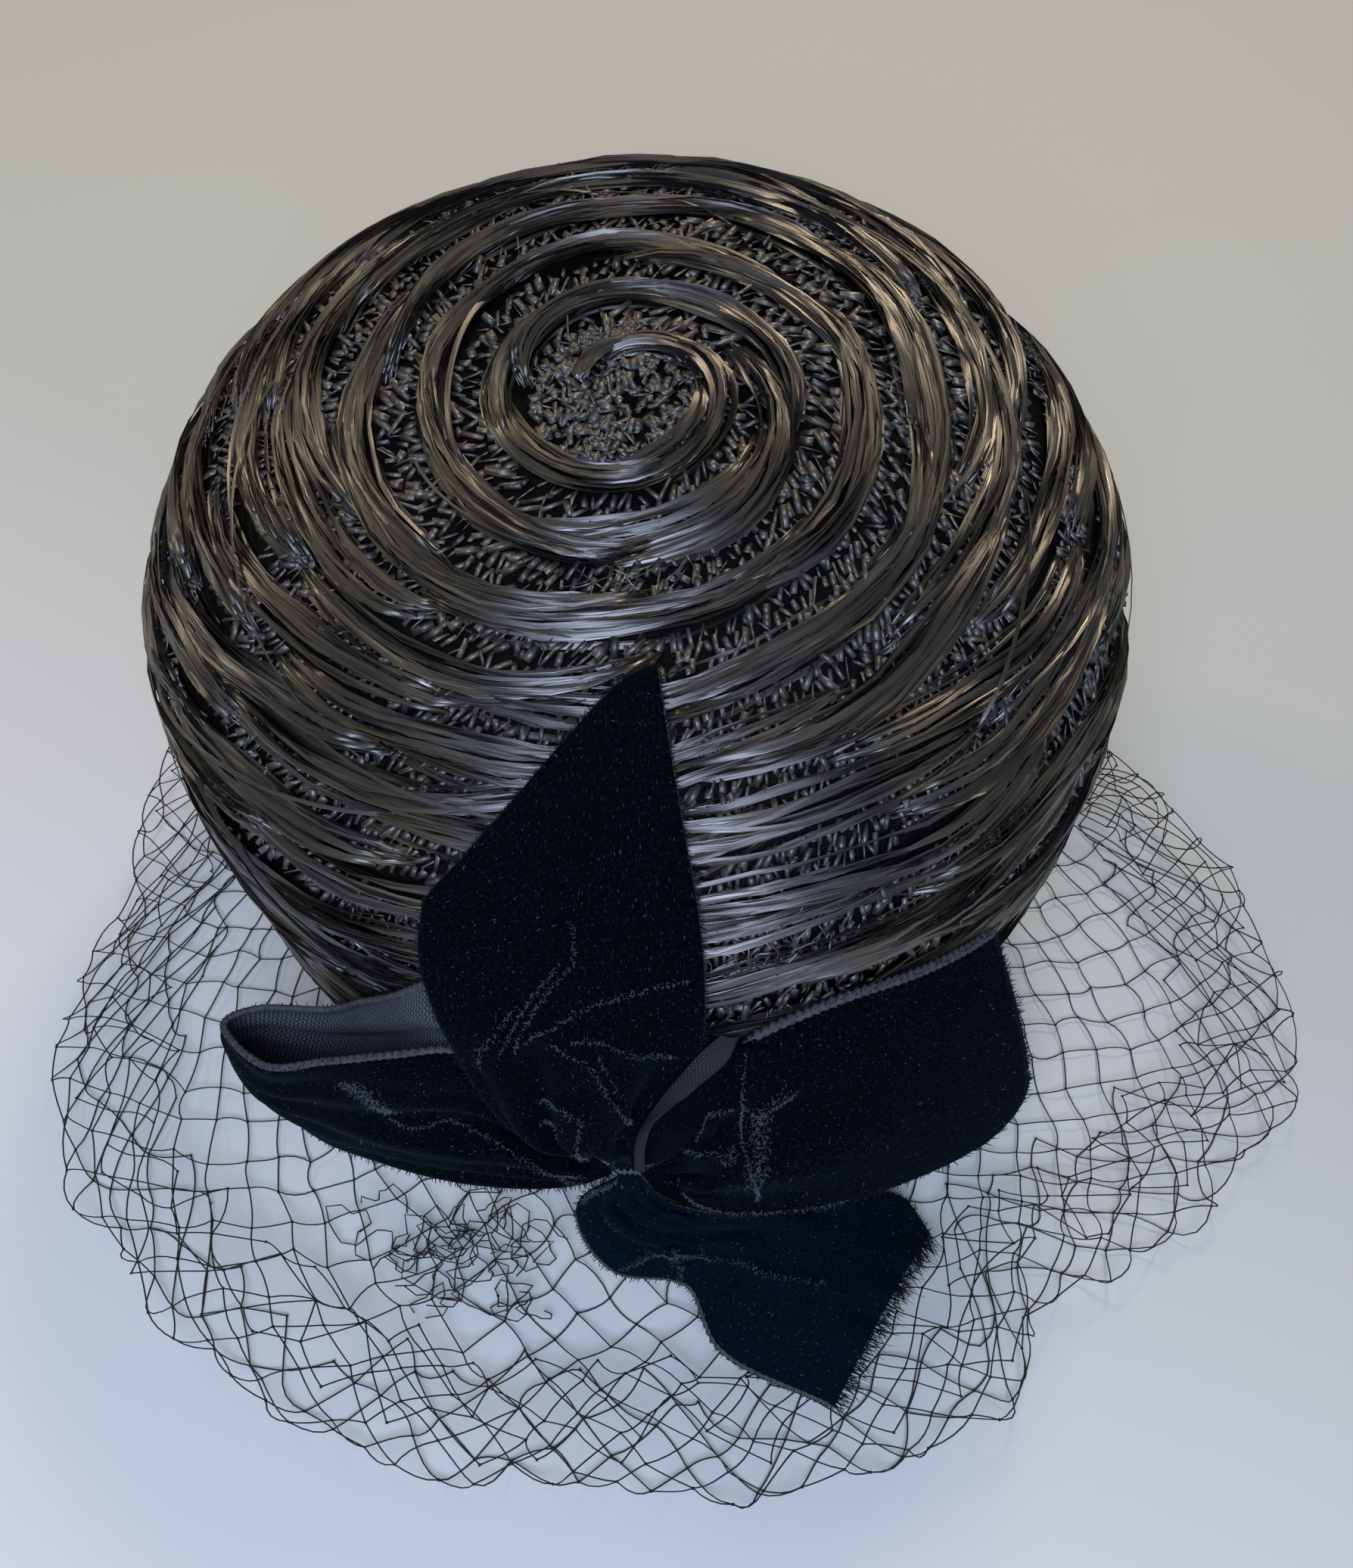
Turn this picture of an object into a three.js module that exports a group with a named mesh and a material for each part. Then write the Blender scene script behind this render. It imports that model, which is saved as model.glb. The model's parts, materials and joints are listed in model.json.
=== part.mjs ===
// A tall rounded pillbox hat of black straw, with a velvet ribbon bow on its front and a short net veil.
// Millimetres, +Z up, -Y to the front. The hat stands on its rim, and its net spreads over the same plane.
// The origin is the middle of the net's outer edge, at the height of the rim.
import * as THREE from 'three';

const { CatmullRomCurve3, MathUtils, SplineCurve, Vector2, Vector3 } = THREE;
const { clamp, degToRad, lerp } = MathUtils;

// Crown: circles along an axis that leans forward as it rises, closed by a rounded top
const RIM_CENTRE = new Vector2(-13.5, 25.7);
const RIM_RADIUS = 85.5;
const BULGE_RADIUS = 99.4;
const BULGE_RISE = 96;
const CROWN_RISE = 143.5;
const SHOULDER_POWER = 2.14;
const FLARE_POWER = 1.74;
const LEAN = degToRad(13.5);
const LEAN_TOWARDS = degToRad(-104);
const OVAL = 0.03;
const OVAL_SPREAD = 0.7;
const OVAL_AXIS = degToRad(100);
const WALL = 2.2;
const OUTLINE_STEPS = 24;

// Ribs: hanks of straw laid in one spiral that runs clockwise, about a centre behind the top, to the rim
const SPIRAL_START = 5.2;
const SPIRAL_BACK = 5;
const TOP_PITCH = 14;
const SIDE_PITCH = 13;
const TOP_TURNS = 4;
const RIB_HEIGHT = 2.5;
const RIB_FADE = 10;
const RIB_ROWS = 64;
const LINING_ROWS = 10;
const CROWN_COLUMNS = 36;

// Ribbon: velvet of one width, gathered and sewn at the middle of the bow
const RIBBON_THICKNESS = 1.2;
const PLEATS = 2;
const RIBBON_COLUMNS = 8;
const STEPS_PER_ROW = 3;
const NUDGE = 0.004;

// Net: diamonds in staggered rows between the rim and the outer edge
const NET_SCALLOP = 0.8;
const NET_THICKNESS = 1;
const NET_GAP_TO_RIM = 1.6;
const NET_LIFT = 1;
const NET_COLUMNS = 30;
const NET_ROWS = 4;
const NET_OPENING = 0.74;
const PUCKER_HEIGHT = 8;
const PUCKER_WAVES = 11;
const PUCKER_UNEVEN = 0.3;
const PUCKER_START = 0.6;
const RIPPLE_HEIGHT = 0.7;
const RIPPLE_WAVES = 7;
// The net's edge as degrees round from +X and millimetres from the origin
const NET_EDGE = [
  [0, 133], [12, 123.5], [26, 117], [45, 121], [70, 131], [95, 139.5], [130, 139], [166, 138], [176, 135],
  [188, 139], [197, 147.5], [206, 152], [226, 152], [243, 148], [262, 140], [287, 139], [299, 136],
  [305, 126], [311, 125], [323, 132], [336, 140], [345, 143], [353, 140], [360, 133],
];

const STRAW = new THREE.MeshStandardMaterial({ color: 0x1d1d20, roughness: 0.38, metalness: 0 });
const VELVET = new THREE.MeshStandardMaterial({ color: 0x07080b, roughness: 0.95, metalness: 0 });
const NET = new THREE.MeshStandardMaterial({ color: 0x2a2a2c, roughness: 0.8, metalness: 0 });

const FULL_TURN = 2 * Math.PI;
const FRONT = -Math.PI / 2;

// Bow sections in crown measures: degrees round from the front, millimetres down from the top centre,
// and millimetres out from the straw. Belly bows the middle outwards, gather is the depth of the pleats.
const UPRIGHT = [
  { left: [0.1, 162.5, 15.2], right: [2.5, 162.5, 15.2], belly: 0, gather: 0 },
  { left: [-1.8, 150, 14], right: [2, 152, 14], belly: 0, gather: 1 },
  { left: [-8.6, 137, 15], right: [2.4, 142, 12.5], belly: 2, gather: 1.6 },
  { left: [-14.4, 118, 9], right: [8, 118, 6.5], belly: 2, gather: 0.8 },
  { left: [-19, 103, 5.5], right: [9.5, 97, 5], belly: 1.5, gather: 0 },
  { left: [-19.6, 98, 4.5], right: [9, 75, 4.5], belly: 1, gather: 0 },
  { left: [-20, 95, 4], right: [8.3, 51, 4], belly: 0.5, gather: 0 },
];
const LEFT_LOOP = [
  { left: [-0.4, 162.8, 15.2], right: [-0.4, 167, 15.6], belly: 0, gather: 0 },
  { left: [-6.5, 150, 10.5], right: [-5, 172, 18], belly: 0, gather: 1 },
  { left: [-15, 125, 7.5], right: [-14, 174.5, 21.2], belly: 3, gather: 1.5 },
  { left: [-20, 125, 12], right: [-24.2, 178, 24], belly: 3, gather: 0.8 },
  { left: [-26.5, 132, 17.5], right: [-32, 186, 26], belly: 2, gather: 0 },
  { left: [-32, 136.5, 24], right: [-38, 188, 26], belly: 2, gather: 0 },
  { left: [-38, 140, 23], right: [-45, 188, 25], belly: 0, gather: 0 },
  { left: [-37, 142, 16], right: [-42.3, 188, 22.5], belly: 0, gather: 0 },
  { left: [-31, 141, 8], right: [-34.5, 188, 18], belly: 0, gather: 0 },
  { left: [-25.5, 129, 4.2], right: [-24, 179, 14], belly: 0, gather: 0 },
  { left: [-16, 109, 3.8], right: [-13, 161, 9], belly: 0, gather: 0 },
  { left: [-2, 155, 3.8], right: [-1.5, 168, 5], belly: 0, gather: 0 },
];
const RIGHT_TAIL = [
  { left: [3, 162.8, 15.2], right: [3, 167, 15.6], belly: 0, gather: 0 },
  { left: [7, 153, 13], right: [6, 172, 17], belly: 0, gather: 1 },
  { left: [12.5, 119, 5], right: [8.5, 169, 22.5], belly: 3, gather: 1.5 },
  { left: [21.5, 115, 4], right: [16, 166, 26], belly: 3, gather: 0.8 },
  { left: [30.5, 118, 4], right: [27, 168.5, 27.5], belly: 2, gather: 0 },
  { left: [41.5, 126, 4], right: [41.5, 175, 30], belly: 1, gather: 0 },
];
// The front end of the ribbon in plain x, y and height, because it lies over the net
const FRONT_TAIL = [
  { left: [-13.2, -90.8, 41.2], right: [-9.3, -90.8, 41.2], belly: 0, gather: 0 },
  { left: [-20.5, -93.5, 34.5], right: [-4, -93, 35.5], belly: 0, gather: 0.5 },
  { left: [-19.7, -97, 27.6], right: [9, -92, 29], belly: 1, gather: 1 },
  { left: [-13, -100, 18], right: [27, -82, 21], belly: 3, gather: 1 },
  { left: [1, -100, 13], right: [38, -78, 13], belly: 6, gather: 0 },
  { left: [8, -112, 10.5], right: [46, -77, 8], belly: 7, gather: 0 },
  { left: [30.5, -122, 9.5], right: [51.5, -84, 6], belly: 7, gather: 0 },
];

/** Half outline of the crown from its top centre to its rim, as radius and rise, moved inwards by inset. */
function crownOutline(inset) {
  const bulge = BULGE_RADIUS - inset;
  const flare = BULGE_RADIUS - RIM_RADIUS;
  const domeRise = CROWN_RISE - inset - BULGE_RISE;
  const dome = [];
  const side = [];
  for (let step = 0; step <= OUTLINE_STEPS; step += 1) {
    const passed = step / OUTLINE_STEPS;
    const slope = (Math.PI / 2) * (1 - passed);
    const across = Math.cos(slope) ** (2 / SHOULDER_POWER);
    const upward = Math.sin(slope) ** (2 / SHOULDER_POWER);
    dome.push(new Vector2(step === 0 ? 0 : bulge * across, BULGE_RISE + domeRise * upward));
    side.push(new Vector2(bulge - flare * passed ** FLARE_POWER, BULGE_RISE * (1 - passed)));
  }
  return new SplineCurve([...dome, ...side.slice(1)]);
}

/** Point of the crown's section at a rise along the leaning axis, at an angle and radius from it. */
function sectionPoint(angle, rise, radius) {
  const curvature = LEAN / CROWN_RISE;
  const tilt = curvature * rise;
  const lean = new Vector2(Math.cos(LEAN_TOWARDS), Math.sin(LEAN_TOWARDS));
  const side = new Vector2(-lean.y, lean.x);
  const spread = Math.sin(Math.PI * clamp(rise / CROWN_RISE, 0, 1)) ** OVAL_SPREAD;
  const reach = radius * (1 + OVAL * spread * Math.cos(2 * (angle - OVAL_AXIS)));
  const alongLean = reach * Math.cos(angle - LEAN_TOWARDS);
  const alongSide = reach * Math.sin(angle - LEAN_TOWARDS);
  const shift = (1 - Math.cos(tilt)) / curvature + alongLean * Math.cos(tilt);
  const plan = RIM_CENTRE.clone().addScaledVector(lean, shift).addScaledVector(side, alongSide);
  return new Vector3(plan.x, plan.y, Math.sin(tilt) / curvature - alongLean * Math.sin(tilt));
}

const OUTER = crownOutline(0);
const INNER = crownOutline(WALL);
const OUTLINE_LENGTH = OUTER.getLength();

/** Point a distance out from the straw, at an angle and a distance down the crown's outline. */
function outFromStraw(angle, down, out) {
  const share = clamp(down / OUTLINE_LENGTH, 0, 1);
  const foot = OUTER.getPointAt(share);
  const along = OUTER.getTangentAt(share);
  return sectionPoint(angle, foot.y + out * along.x, foot.x - out * along.y);
}

const onCrown = ([turn, down, out]) => outFromStraw(FRONT + degToRad(turn), down, out);
const onFloor = ([x, y, height]) => new Vector3(x, y, height);

/** Height of the spiral rib, a rounded ridge that fades at the top centre and at the rim. */
function ribHeight(angle, down) {
  const spot = new Vector2(Math.cos(angle), Math.sin(angle)).multiplyScalar(down);
  spot.y -= SPIRAL_BACK;
  const swept = Math.atan2(-spot.x, -spot.y) / FULL_TURN;
  const topTurns = (spot.length() - SPIRAL_START) / TOP_PITCH;
  const sideTurns = TOP_TURNS + (topTurns - TOP_TURNS) * (TOP_PITCH / SIDE_PITCH);
  const turns = topTurns < TOP_TURNS ? topTurns : sideTurns;
  const ridge = 0.5 + 0.5 * Math.cos(FULL_TURN * (turns - swept));
  const fade = Math.min(1, down / RIB_FADE, (OUTLINE_LENGTH - down) / RIB_FADE);
  return RIB_HEIGHT * ridge * fade;
}

/** Mesh of a closed solid from its corner points and its faces, each a list of point numbers. */
function solid(name, material, points, faces) {
  const corners = faces.flatMap((face) => {
    const fan = [];
    for (let corner = 1; corner < face.length - 1; corner += 1) {
      fan.push(face[0], face[corner], face[corner + 1]);
    }
    return fan;
  });
  const geometry = new THREE.BufferGeometry().setFromPoints(points);
  geometry.setIndex(corners);
  geometry.computeVertexNormals();
  const mesh = new THREE.Mesh(geometry, material);
  mesh.name = name;
  return mesh;
}

/** Hollow crown: rings from the top centre down the ribbed outside, round the flat rim and up the inside. */
function crown() {
  const angles = Array.from({ length: CROWN_COLUMNS }, (_, column) => (FULL_TURN * column) / CROWN_COLUMNS);
  const rings = [[outFromStraw(0, 0, 0)]];
  for (let row = 1; row <= RIB_ROWS; row += 1) {
    const down = (OUTLINE_LENGTH * row) / RIB_ROWS;
    rings.push(angles.map((angle) => outFromStraw(angle, down, ribHeight(angle, down))));
  }
  for (let row = LINING_ROWS; row >= 1; row -= 1) {
    const foot = INNER.getPointAt(row / LINING_ROWS);
    rings.push(angles.map((angle) => sectionPoint(angle, foot.y, foot.x)));
  }
  rings.push([sectionPoint(0, CROWN_RISE - WALL, 0)]);

  const points = rings.flat();
  const faces = [];
  let start = 0;
  for (let row = 0; row < rings.length - 1; row += 1) {
    const next = start + rings[row].length;
    const at = (ring, first, column) => first + (column % rings[ring].length);
    for (let column = 0; column < CROWN_COLUMNS; column += 1) {
      const face = [
        at(row, start, column),
        at(row + 1, next, column),
        at(row + 1, next, column + 1),
        at(row, start, column + 1),
      ];
      faces.push([...new Set(face)]);
    }
    start = next;
  }
  return solid('crown', STRAW, points, faces);
}

/** Ribbon through a table of sections: its middle surface, bowed and pleated, given its thickness. */
function ribbon(name, sections, place) {
  const left = new CatmullRomCurve3(sections.map((section) => new Vector3(...section.left)));
  const right = new CatmullRomCurve3(sections.map((section) => new Vector3(...section.right)));
  const form = new CatmullRomCurve3(sections.map(({ belly, gather }) => new Vector3(belly, gather, 0)));
  const steps = STEPS_PER_ROW * (sections.length - 1);

  const middle = (along, across) => {
    const spot = left.getPoint(along).lerp(right.getPoint(along), across);
    const { x: belly, y: gather } = form.getPoint(along);
    const side = 2 * across - 1;
    spot.z += belly * (1 - side * side) + gather * Math.sin(FULL_TURN * PLEATS * across);
    return place(spot.toArray());
  };
  const normal = (along, across) => {
    const ahead = middle(Math.min(along + NUDGE, 1), across);
    const behind = middle(Math.max(along - NUDGE, 0), across);
    const after = middle(along, Math.min(across + NUDGE, 1));
    const before = middle(along, Math.max(across - NUDGE, 0));
    return ahead.sub(behind).cross(after.sub(before)).normalize();
  };

  const points = [];
  for (let step = 0; step <= steps; step += 1) {
    for (const face of [0.5, -0.5]) {
      for (let column = 0; column <= RIBBON_COLUMNS; column += 1) {
        const along = step / steps;
        const across = column / RIBBON_COLUMNS;
        const spot = middle(along, across);
        points.push(spot.addScaledVector(normal(along, across), face * RIBBON_THICKNESS));
      }
    }
  }
  const perSide = RIBBON_COLUMNS + 1;
  const front = (step, column) => 2 * perSide * step + column;
  const back = (step, column) => 2 * perSide * step + perSide + column;
  const last = RIBBON_COLUMNS;
  const faces = [];
  for (let step = 0; step < steps; step += 1) {
    const next = step + 1;
    for (let column = 0; column < last; column += 1) {
      const beside = column + 1;
      faces.push([front(step, column), front(next, column), front(next, beside), front(step, beside)]);
      faces.push([back(step, column), back(step, beside), back(next, beside), back(next, column)]);
    }
    faces.push([front(step, 0), back(step, 0), back(next, 0), front(next, 0)]);
    faces.push([front(step, last), front(next, last), back(next, last), back(step, last)]);
  }
  for (let column = 0; column < last; column += 1) {
    const beside = column + 1;
    faces.push([front(0, column), front(0, beside), back(0, beside), back(0, column)]);
    faces.push([front(steps, column), back(steps, column), back(steps, beside), front(steps, beside)]);
  }
  return solid(name, VELVET, points, faces);
}

/** Distance of the net's edge from the origin: straight between the places of its table, and scalloped. */
function netReach(angle) {
  const degrees = MathUtils.euclideanModulo(MathUtils.radToDeg(angle), 360);
  const next = NET_EDGE.findIndex(([place]) => place > degrees);
  const [start, near] = NET_EDGE[next - 1];
  const [end, far] = NET_EDGE[next];
  const reach = lerp(near, far, (degrees - start) / (end - start));
  return reach + NET_SCALLOP * Math.sin(PUCKER_WAVES * angle);
}

/** Point of the net's middle, by turns round from +X and the share of the way from the rim to the edge. */
function netPoint(turns, share) {
  const angle = FULL_TURN * turns;
  const inner = sectionPoint(angle, 0, RIM_RADIUS + NET_GAP_TO_RIM);
  const edge = netReach(angle);
  const ripple = RIPPLE_HEIGHT * share * (1 - share) * (1 + Math.sin(RIPPLE_WAVES * angle));
  const pucker = PUCKER_HEIGHT * (1 - PUCKER_UNEVEN + PUCKER_UNEVEN * Math.sin(PUCKER_WAVES * angle + 1));
  const swell = Math.sin(Math.PI * clamp((share - PUCKER_START) / (1 - PUCKER_START), 0, 1));
  return new Vector3(
    lerp(inner.x, edge * Math.cos(angle), share),
    lerp(inner.y, edge * Math.sin(angle), share),
    NET_LIFT + ripple + pucker * swell,
  );
}

/** Net ring cut through by diamonds: each keeps four corners, and strands and knots fill between them. */
function veil() {
  const points = [];
  const numbers = new Map();
  // The corner of a diamond towards the rim, the edge, or one side, on the net's top or underside
  const corner = (column, row, towards, underside) => {
    const around = (column + NET_COLUMNS) % NET_COLUMNS;
    const key = [around, row, towards, underside].join();
    if (!numbers.has(key)) {
      const half = NET_OPENING / 2;
      const stagger = row % 2 === 0 ? 0 : 0.5;
      const sideways = { rim: 0, edge: 0, before: -half, after: half }[towards];
      const outward = { rim: -2 * half, edge: 2 * half, before: 0, after: 0 }[towards];
      const share = (row + 1 + outward) / (NET_ROWS + 1);
      const spot = netPoint((around + stagger + sideways) / NET_COLUMNS, clamp(share, 0, 1));
      spot.z += underside ? -NET_THICKNESS / 2 : NET_THICKNESS / 2;
      numbers.set(key, points.push(spot) - 1);
    }
    return numbers.get(key);
  };

  const faces = [];
  const sheet = (...corners) => {
    faces.push(corners.map((spot) => corner(...spot, false)).reverse());
    faces.push(corners.map((spot) => corner(...spot, true)));
  };
  const wall = (from, to) => {
    faces.push([corner(...to, false), corner(...to, true), corner(...from, true), corner(...from, false)]);
  };

  for (let row = -1; row <= NET_ROWS; row += 1) {
    const shift = row % 2 === 0 ? 0 : 1;
    for (let column = 0; column < NET_COLUMNS; column += 1) {
      const rim = [column, row, 'rim'];
      const edge = [column, row, 'edge'];
      const before = [column, row, 'before'];
      const after = [column, row, 'after'];
      const upBefore = column - 1 + shift;
      const upAfter = column + shift;
      if (row === -1) {
        sheet(before, after, edge);
        sheet(after, [column + 1, row, 'before'], [upAfter, row + 1, 'rim']);
        wall(before, after);
        wall(after, [column + 1, row, 'before']);
      } else if (row === NET_ROWS) {
        sheet(before, rim, after);
        sheet([column + 1, row, 'before'], after, [upAfter, row - 1, 'edge']);
        wall(after, before);
        wall([column + 1, row, 'before'], after);
      } else {
        wall(rim, before);
        wall(before, edge);
        wall(edge, after);
        wall(after, rim);
      }
      if (row < NET_ROWS) {
        sheet(after, [upAfter, row + 1, 'rim'], [upAfter, row + 1, 'before'], edge);
        sheet(edge, [upBefore, row + 1, 'after'], [upBefore, row + 1, 'rim'], before);
      }
      if (row < NET_ROWS - 1) {
        sheet(edge, [upAfter, row + 1, 'before'], [column, row + 2, 'rim'], [upBefore, row + 1, 'after']);
      }
    }
  }
  return solid('veil', NET, points, faces);
}

const hat = new THREE.Group();
hat.name = 'pillbox_hat';
hat.add(
  crown(),
  ribbon('bow_upright', UPRIGHT, onCrown),
  ribbon('bow_left_loop', LEFT_LOOP, onCrown),
  ribbon('bow_right_tail', RIGHT_TAIL, onCrown),
  ribbon('bow_front_tail', FRONT_TAIL, onFloor),
  veil(),
);

export default hat;
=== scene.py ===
"""Pillbox hat of black straw with a velvet bow and a net veil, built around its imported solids.

Lengths are metres. A place on the crown is (turn, down, out): degrees round from the front, distance down
the outline from the top centre, and distance out from the straw.
"""
import json
from collections import namedtuple

import bpy
import numpy as np
from mathutils import Matrix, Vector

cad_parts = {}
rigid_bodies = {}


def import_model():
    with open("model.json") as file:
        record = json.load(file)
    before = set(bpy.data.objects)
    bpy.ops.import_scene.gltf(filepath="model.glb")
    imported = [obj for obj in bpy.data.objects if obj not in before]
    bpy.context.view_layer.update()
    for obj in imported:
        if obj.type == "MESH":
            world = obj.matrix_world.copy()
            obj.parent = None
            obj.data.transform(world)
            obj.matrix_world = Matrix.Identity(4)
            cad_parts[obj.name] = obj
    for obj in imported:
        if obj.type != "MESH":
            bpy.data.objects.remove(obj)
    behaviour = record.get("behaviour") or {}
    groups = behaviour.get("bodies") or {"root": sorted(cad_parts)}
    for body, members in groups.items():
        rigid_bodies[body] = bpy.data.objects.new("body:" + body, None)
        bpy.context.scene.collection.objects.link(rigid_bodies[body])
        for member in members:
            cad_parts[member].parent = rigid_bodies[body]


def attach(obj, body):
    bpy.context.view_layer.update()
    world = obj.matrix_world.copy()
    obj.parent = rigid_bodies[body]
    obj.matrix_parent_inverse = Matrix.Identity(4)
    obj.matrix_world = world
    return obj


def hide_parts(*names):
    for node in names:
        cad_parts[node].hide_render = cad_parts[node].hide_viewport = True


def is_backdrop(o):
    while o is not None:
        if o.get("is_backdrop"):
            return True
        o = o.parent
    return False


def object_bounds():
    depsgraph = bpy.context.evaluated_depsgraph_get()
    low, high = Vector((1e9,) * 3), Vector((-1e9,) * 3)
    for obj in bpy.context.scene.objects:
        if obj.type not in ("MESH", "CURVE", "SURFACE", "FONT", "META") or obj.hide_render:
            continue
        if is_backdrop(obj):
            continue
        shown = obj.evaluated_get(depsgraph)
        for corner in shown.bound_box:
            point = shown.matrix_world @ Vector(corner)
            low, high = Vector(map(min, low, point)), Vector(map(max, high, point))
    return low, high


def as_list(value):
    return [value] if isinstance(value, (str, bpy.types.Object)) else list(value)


bl_info = {
    "name": "Pillbox Hat",
    "version": (1, 0, 0),
    "blender": (4, 5, 0),
    "location": "View3D > Sidebar > Hat",
    "description": "Straw, ribbon and net of a pillbox hat",
    "category": "Object",
}

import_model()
CAD_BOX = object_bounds()
MM = 0.001
TAU = 2 * np.pi


# Settings


def linear(code):
    """Linear red, green and blue of an sRGB hex colour."""
    share = np.array([int(code[i:i + 2], 16) for i in (1, 3, 5)]) / 255
    return tuple(np.where(share <= 0.04045, share / 12.92, ((share + 0.055) / 1.055) ** 2.4).tolist())


def length(name, description, millimetres):
    """Property that holds a length."""
    value = millimetres * MM
    return bpy.props.FloatProperty(name=name, description=description, default=value, unit="LENGTH")


def angle(name, description, degrees):
    """Property that holds an angle."""
    value = np.radians(degrees)
    return bpy.props.FloatProperty(name=name, description=description, default=value, subtype="ANGLE")


def number(name, description, value):
    """Property that holds a plain number."""
    return bpy.props.FloatProperty(name=name, description=description, default=value)


def count(name, description, value):
    """Property that holds a count."""
    return bpy.props.IntProperty(name=name, description=description, default=value, min=1)


def colour(name, description, code):
    """Property that holds a colour."""
    value = linear(code)
    return bpy.props.FloatVectorProperty(name=name, description=description, default=value, subtype="COLOR")


class CrownSettings(bpy.types.PropertyGroup):
    """Form of the crown: circles along an axis that leans forward as it rises, closed by a rounded top."""

    rim_x: length("Rim Centre X", "Middle of the rim, sideways", -13.5)
    rim_y: length("Rim Centre Y", "Middle of the rim, from front to back", 25.7)
    rim_radius: length("Rim Radius", "Radius of the rim", 85.5)
    bulge_radius: length("Bulge Radius", "Widest radius of the crown", 99.4)
    bulge_rise: length("Bulge Rise", "Height of the widest place along the axis", 96)
    rise: length("Rise", "Height of the crown along its axis", 143.5)
    shoulder_power: number("Shoulder Power", "Power of the superellipse of the rounded top", 2.14)
    flare_power: number("Flare Power", "Power by which the side draws in to the rim", 1.74)
    lean: angle("Lean", "Angle by which the axis has leant over at the top", 13.5)
    lean_towards: angle("Lean Towards", "Direction that the axis leans in", -104)
    oval: number("Oval", "Share by which a section is longer than it is wide", 0.03)
    oval_spread: number("Oval Spread", "Power by which the oval fades to the rim and the top", 0.7)
    oval_axis: angle("Oval Axis", "Direction of the longer way across a section", 100)
    wall: length("Wall", "Thickness of the straw wall", 2.2)


class StrawSettings(bpy.types.PropertyGroup):
    """Straw: one spiral of hanks that overlap, laid over a knitted ground."""

    spiral_start: length("Spiral Start", "Distance of the spiral from its own centre at no sweep", 5.2)
    spiral_first: angle("Spiral First", "Sweep at which the first hank begins", 110)
    spiral_back: length("Spiral Back", "Distance of the spiral's centre behind the top centre", 5)
    top_pitch: length("Top Pitch", "Distance between the spiral's turns on the top", 14)
    side_pitch: length("Side Pitch", "Distance between the spiral's turns on the side", 13)
    top_turns: number("Top Turns", "Number of turns with the top's pitch", 4)
    turns: number("Turns", "Number of turns from the centre to the rim", 16.1)
    hank_length: length("Hank Length", "Length of one hank of straws", 84)
    hank_overlap: number("Hank Overlap", "Share of a hank's length from one hank to the next", 0.5)
    hank_arc: number("Hank Arc", "Most that a hank bends round the top, in radians", 2.2)
    hank_width: length("Hank Width", "Width of a hank at its middle", 7.4)
    top_narrowing: number("Top Narrowing", "Share of that width that a hank lacks at the top centre", 0.34)
    hank_height: length("Hank Height", "Height of a hank over the ground", 2.5)
    top_slant: number("Top Slant", "Slope of a hank across the spiral on the top", 0.06)
    side_slant: number("Side Slant", "Most that a hank slopes down the side, away from the front", 0.2)
    slant_middle: angle("Slant Middle", "Turn at which the hanks on the side lie level", 12)
    hook: length("Hook", "Sideways reach of a hank that starts as a hook", 6)
    straws: count("Straws", "Straws in the upper layer of a hank", 11)
    straw_width: length("Straw Width", "Width of one flat straw", 1.05)
    straw_height: length("Straw Height", "Thickness of one flat straw", 0.26)
    strays: count("Strays", "Single straws that have come loose from their hanks", 70)
    splinters: count("Splinters", "Short broken bits of straw between the hanks", 420)
    stitch_length: length("Stitch Length", "Length of a stitch of the knitted ground", 3.2)
    stitch_width: length("Stitch Width", "Width of a stitch", 1.45)
    stitch_height: length("Stitch Height", "Thickness of a stitch", 0.24)
    stitch_step: length("Stitch Step", "Distance from one stitch to the next", 1.5)
    stitch_columns: count("Stitch Columns", "Stitches side by side between two turns of the spiral", 3)
    black: colour("Black", "Deepest colour of the straw", "#050505")
    grey: colour("Grey", "Colour of a paler straw", "#2b2a27")
    brown: colour("Brown", "Colour of a faded straw", "#63563e")
    stitch_grey: colour("Stitch Grey", "Colour of a dusty stitch of the ground", "#525255")


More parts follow.
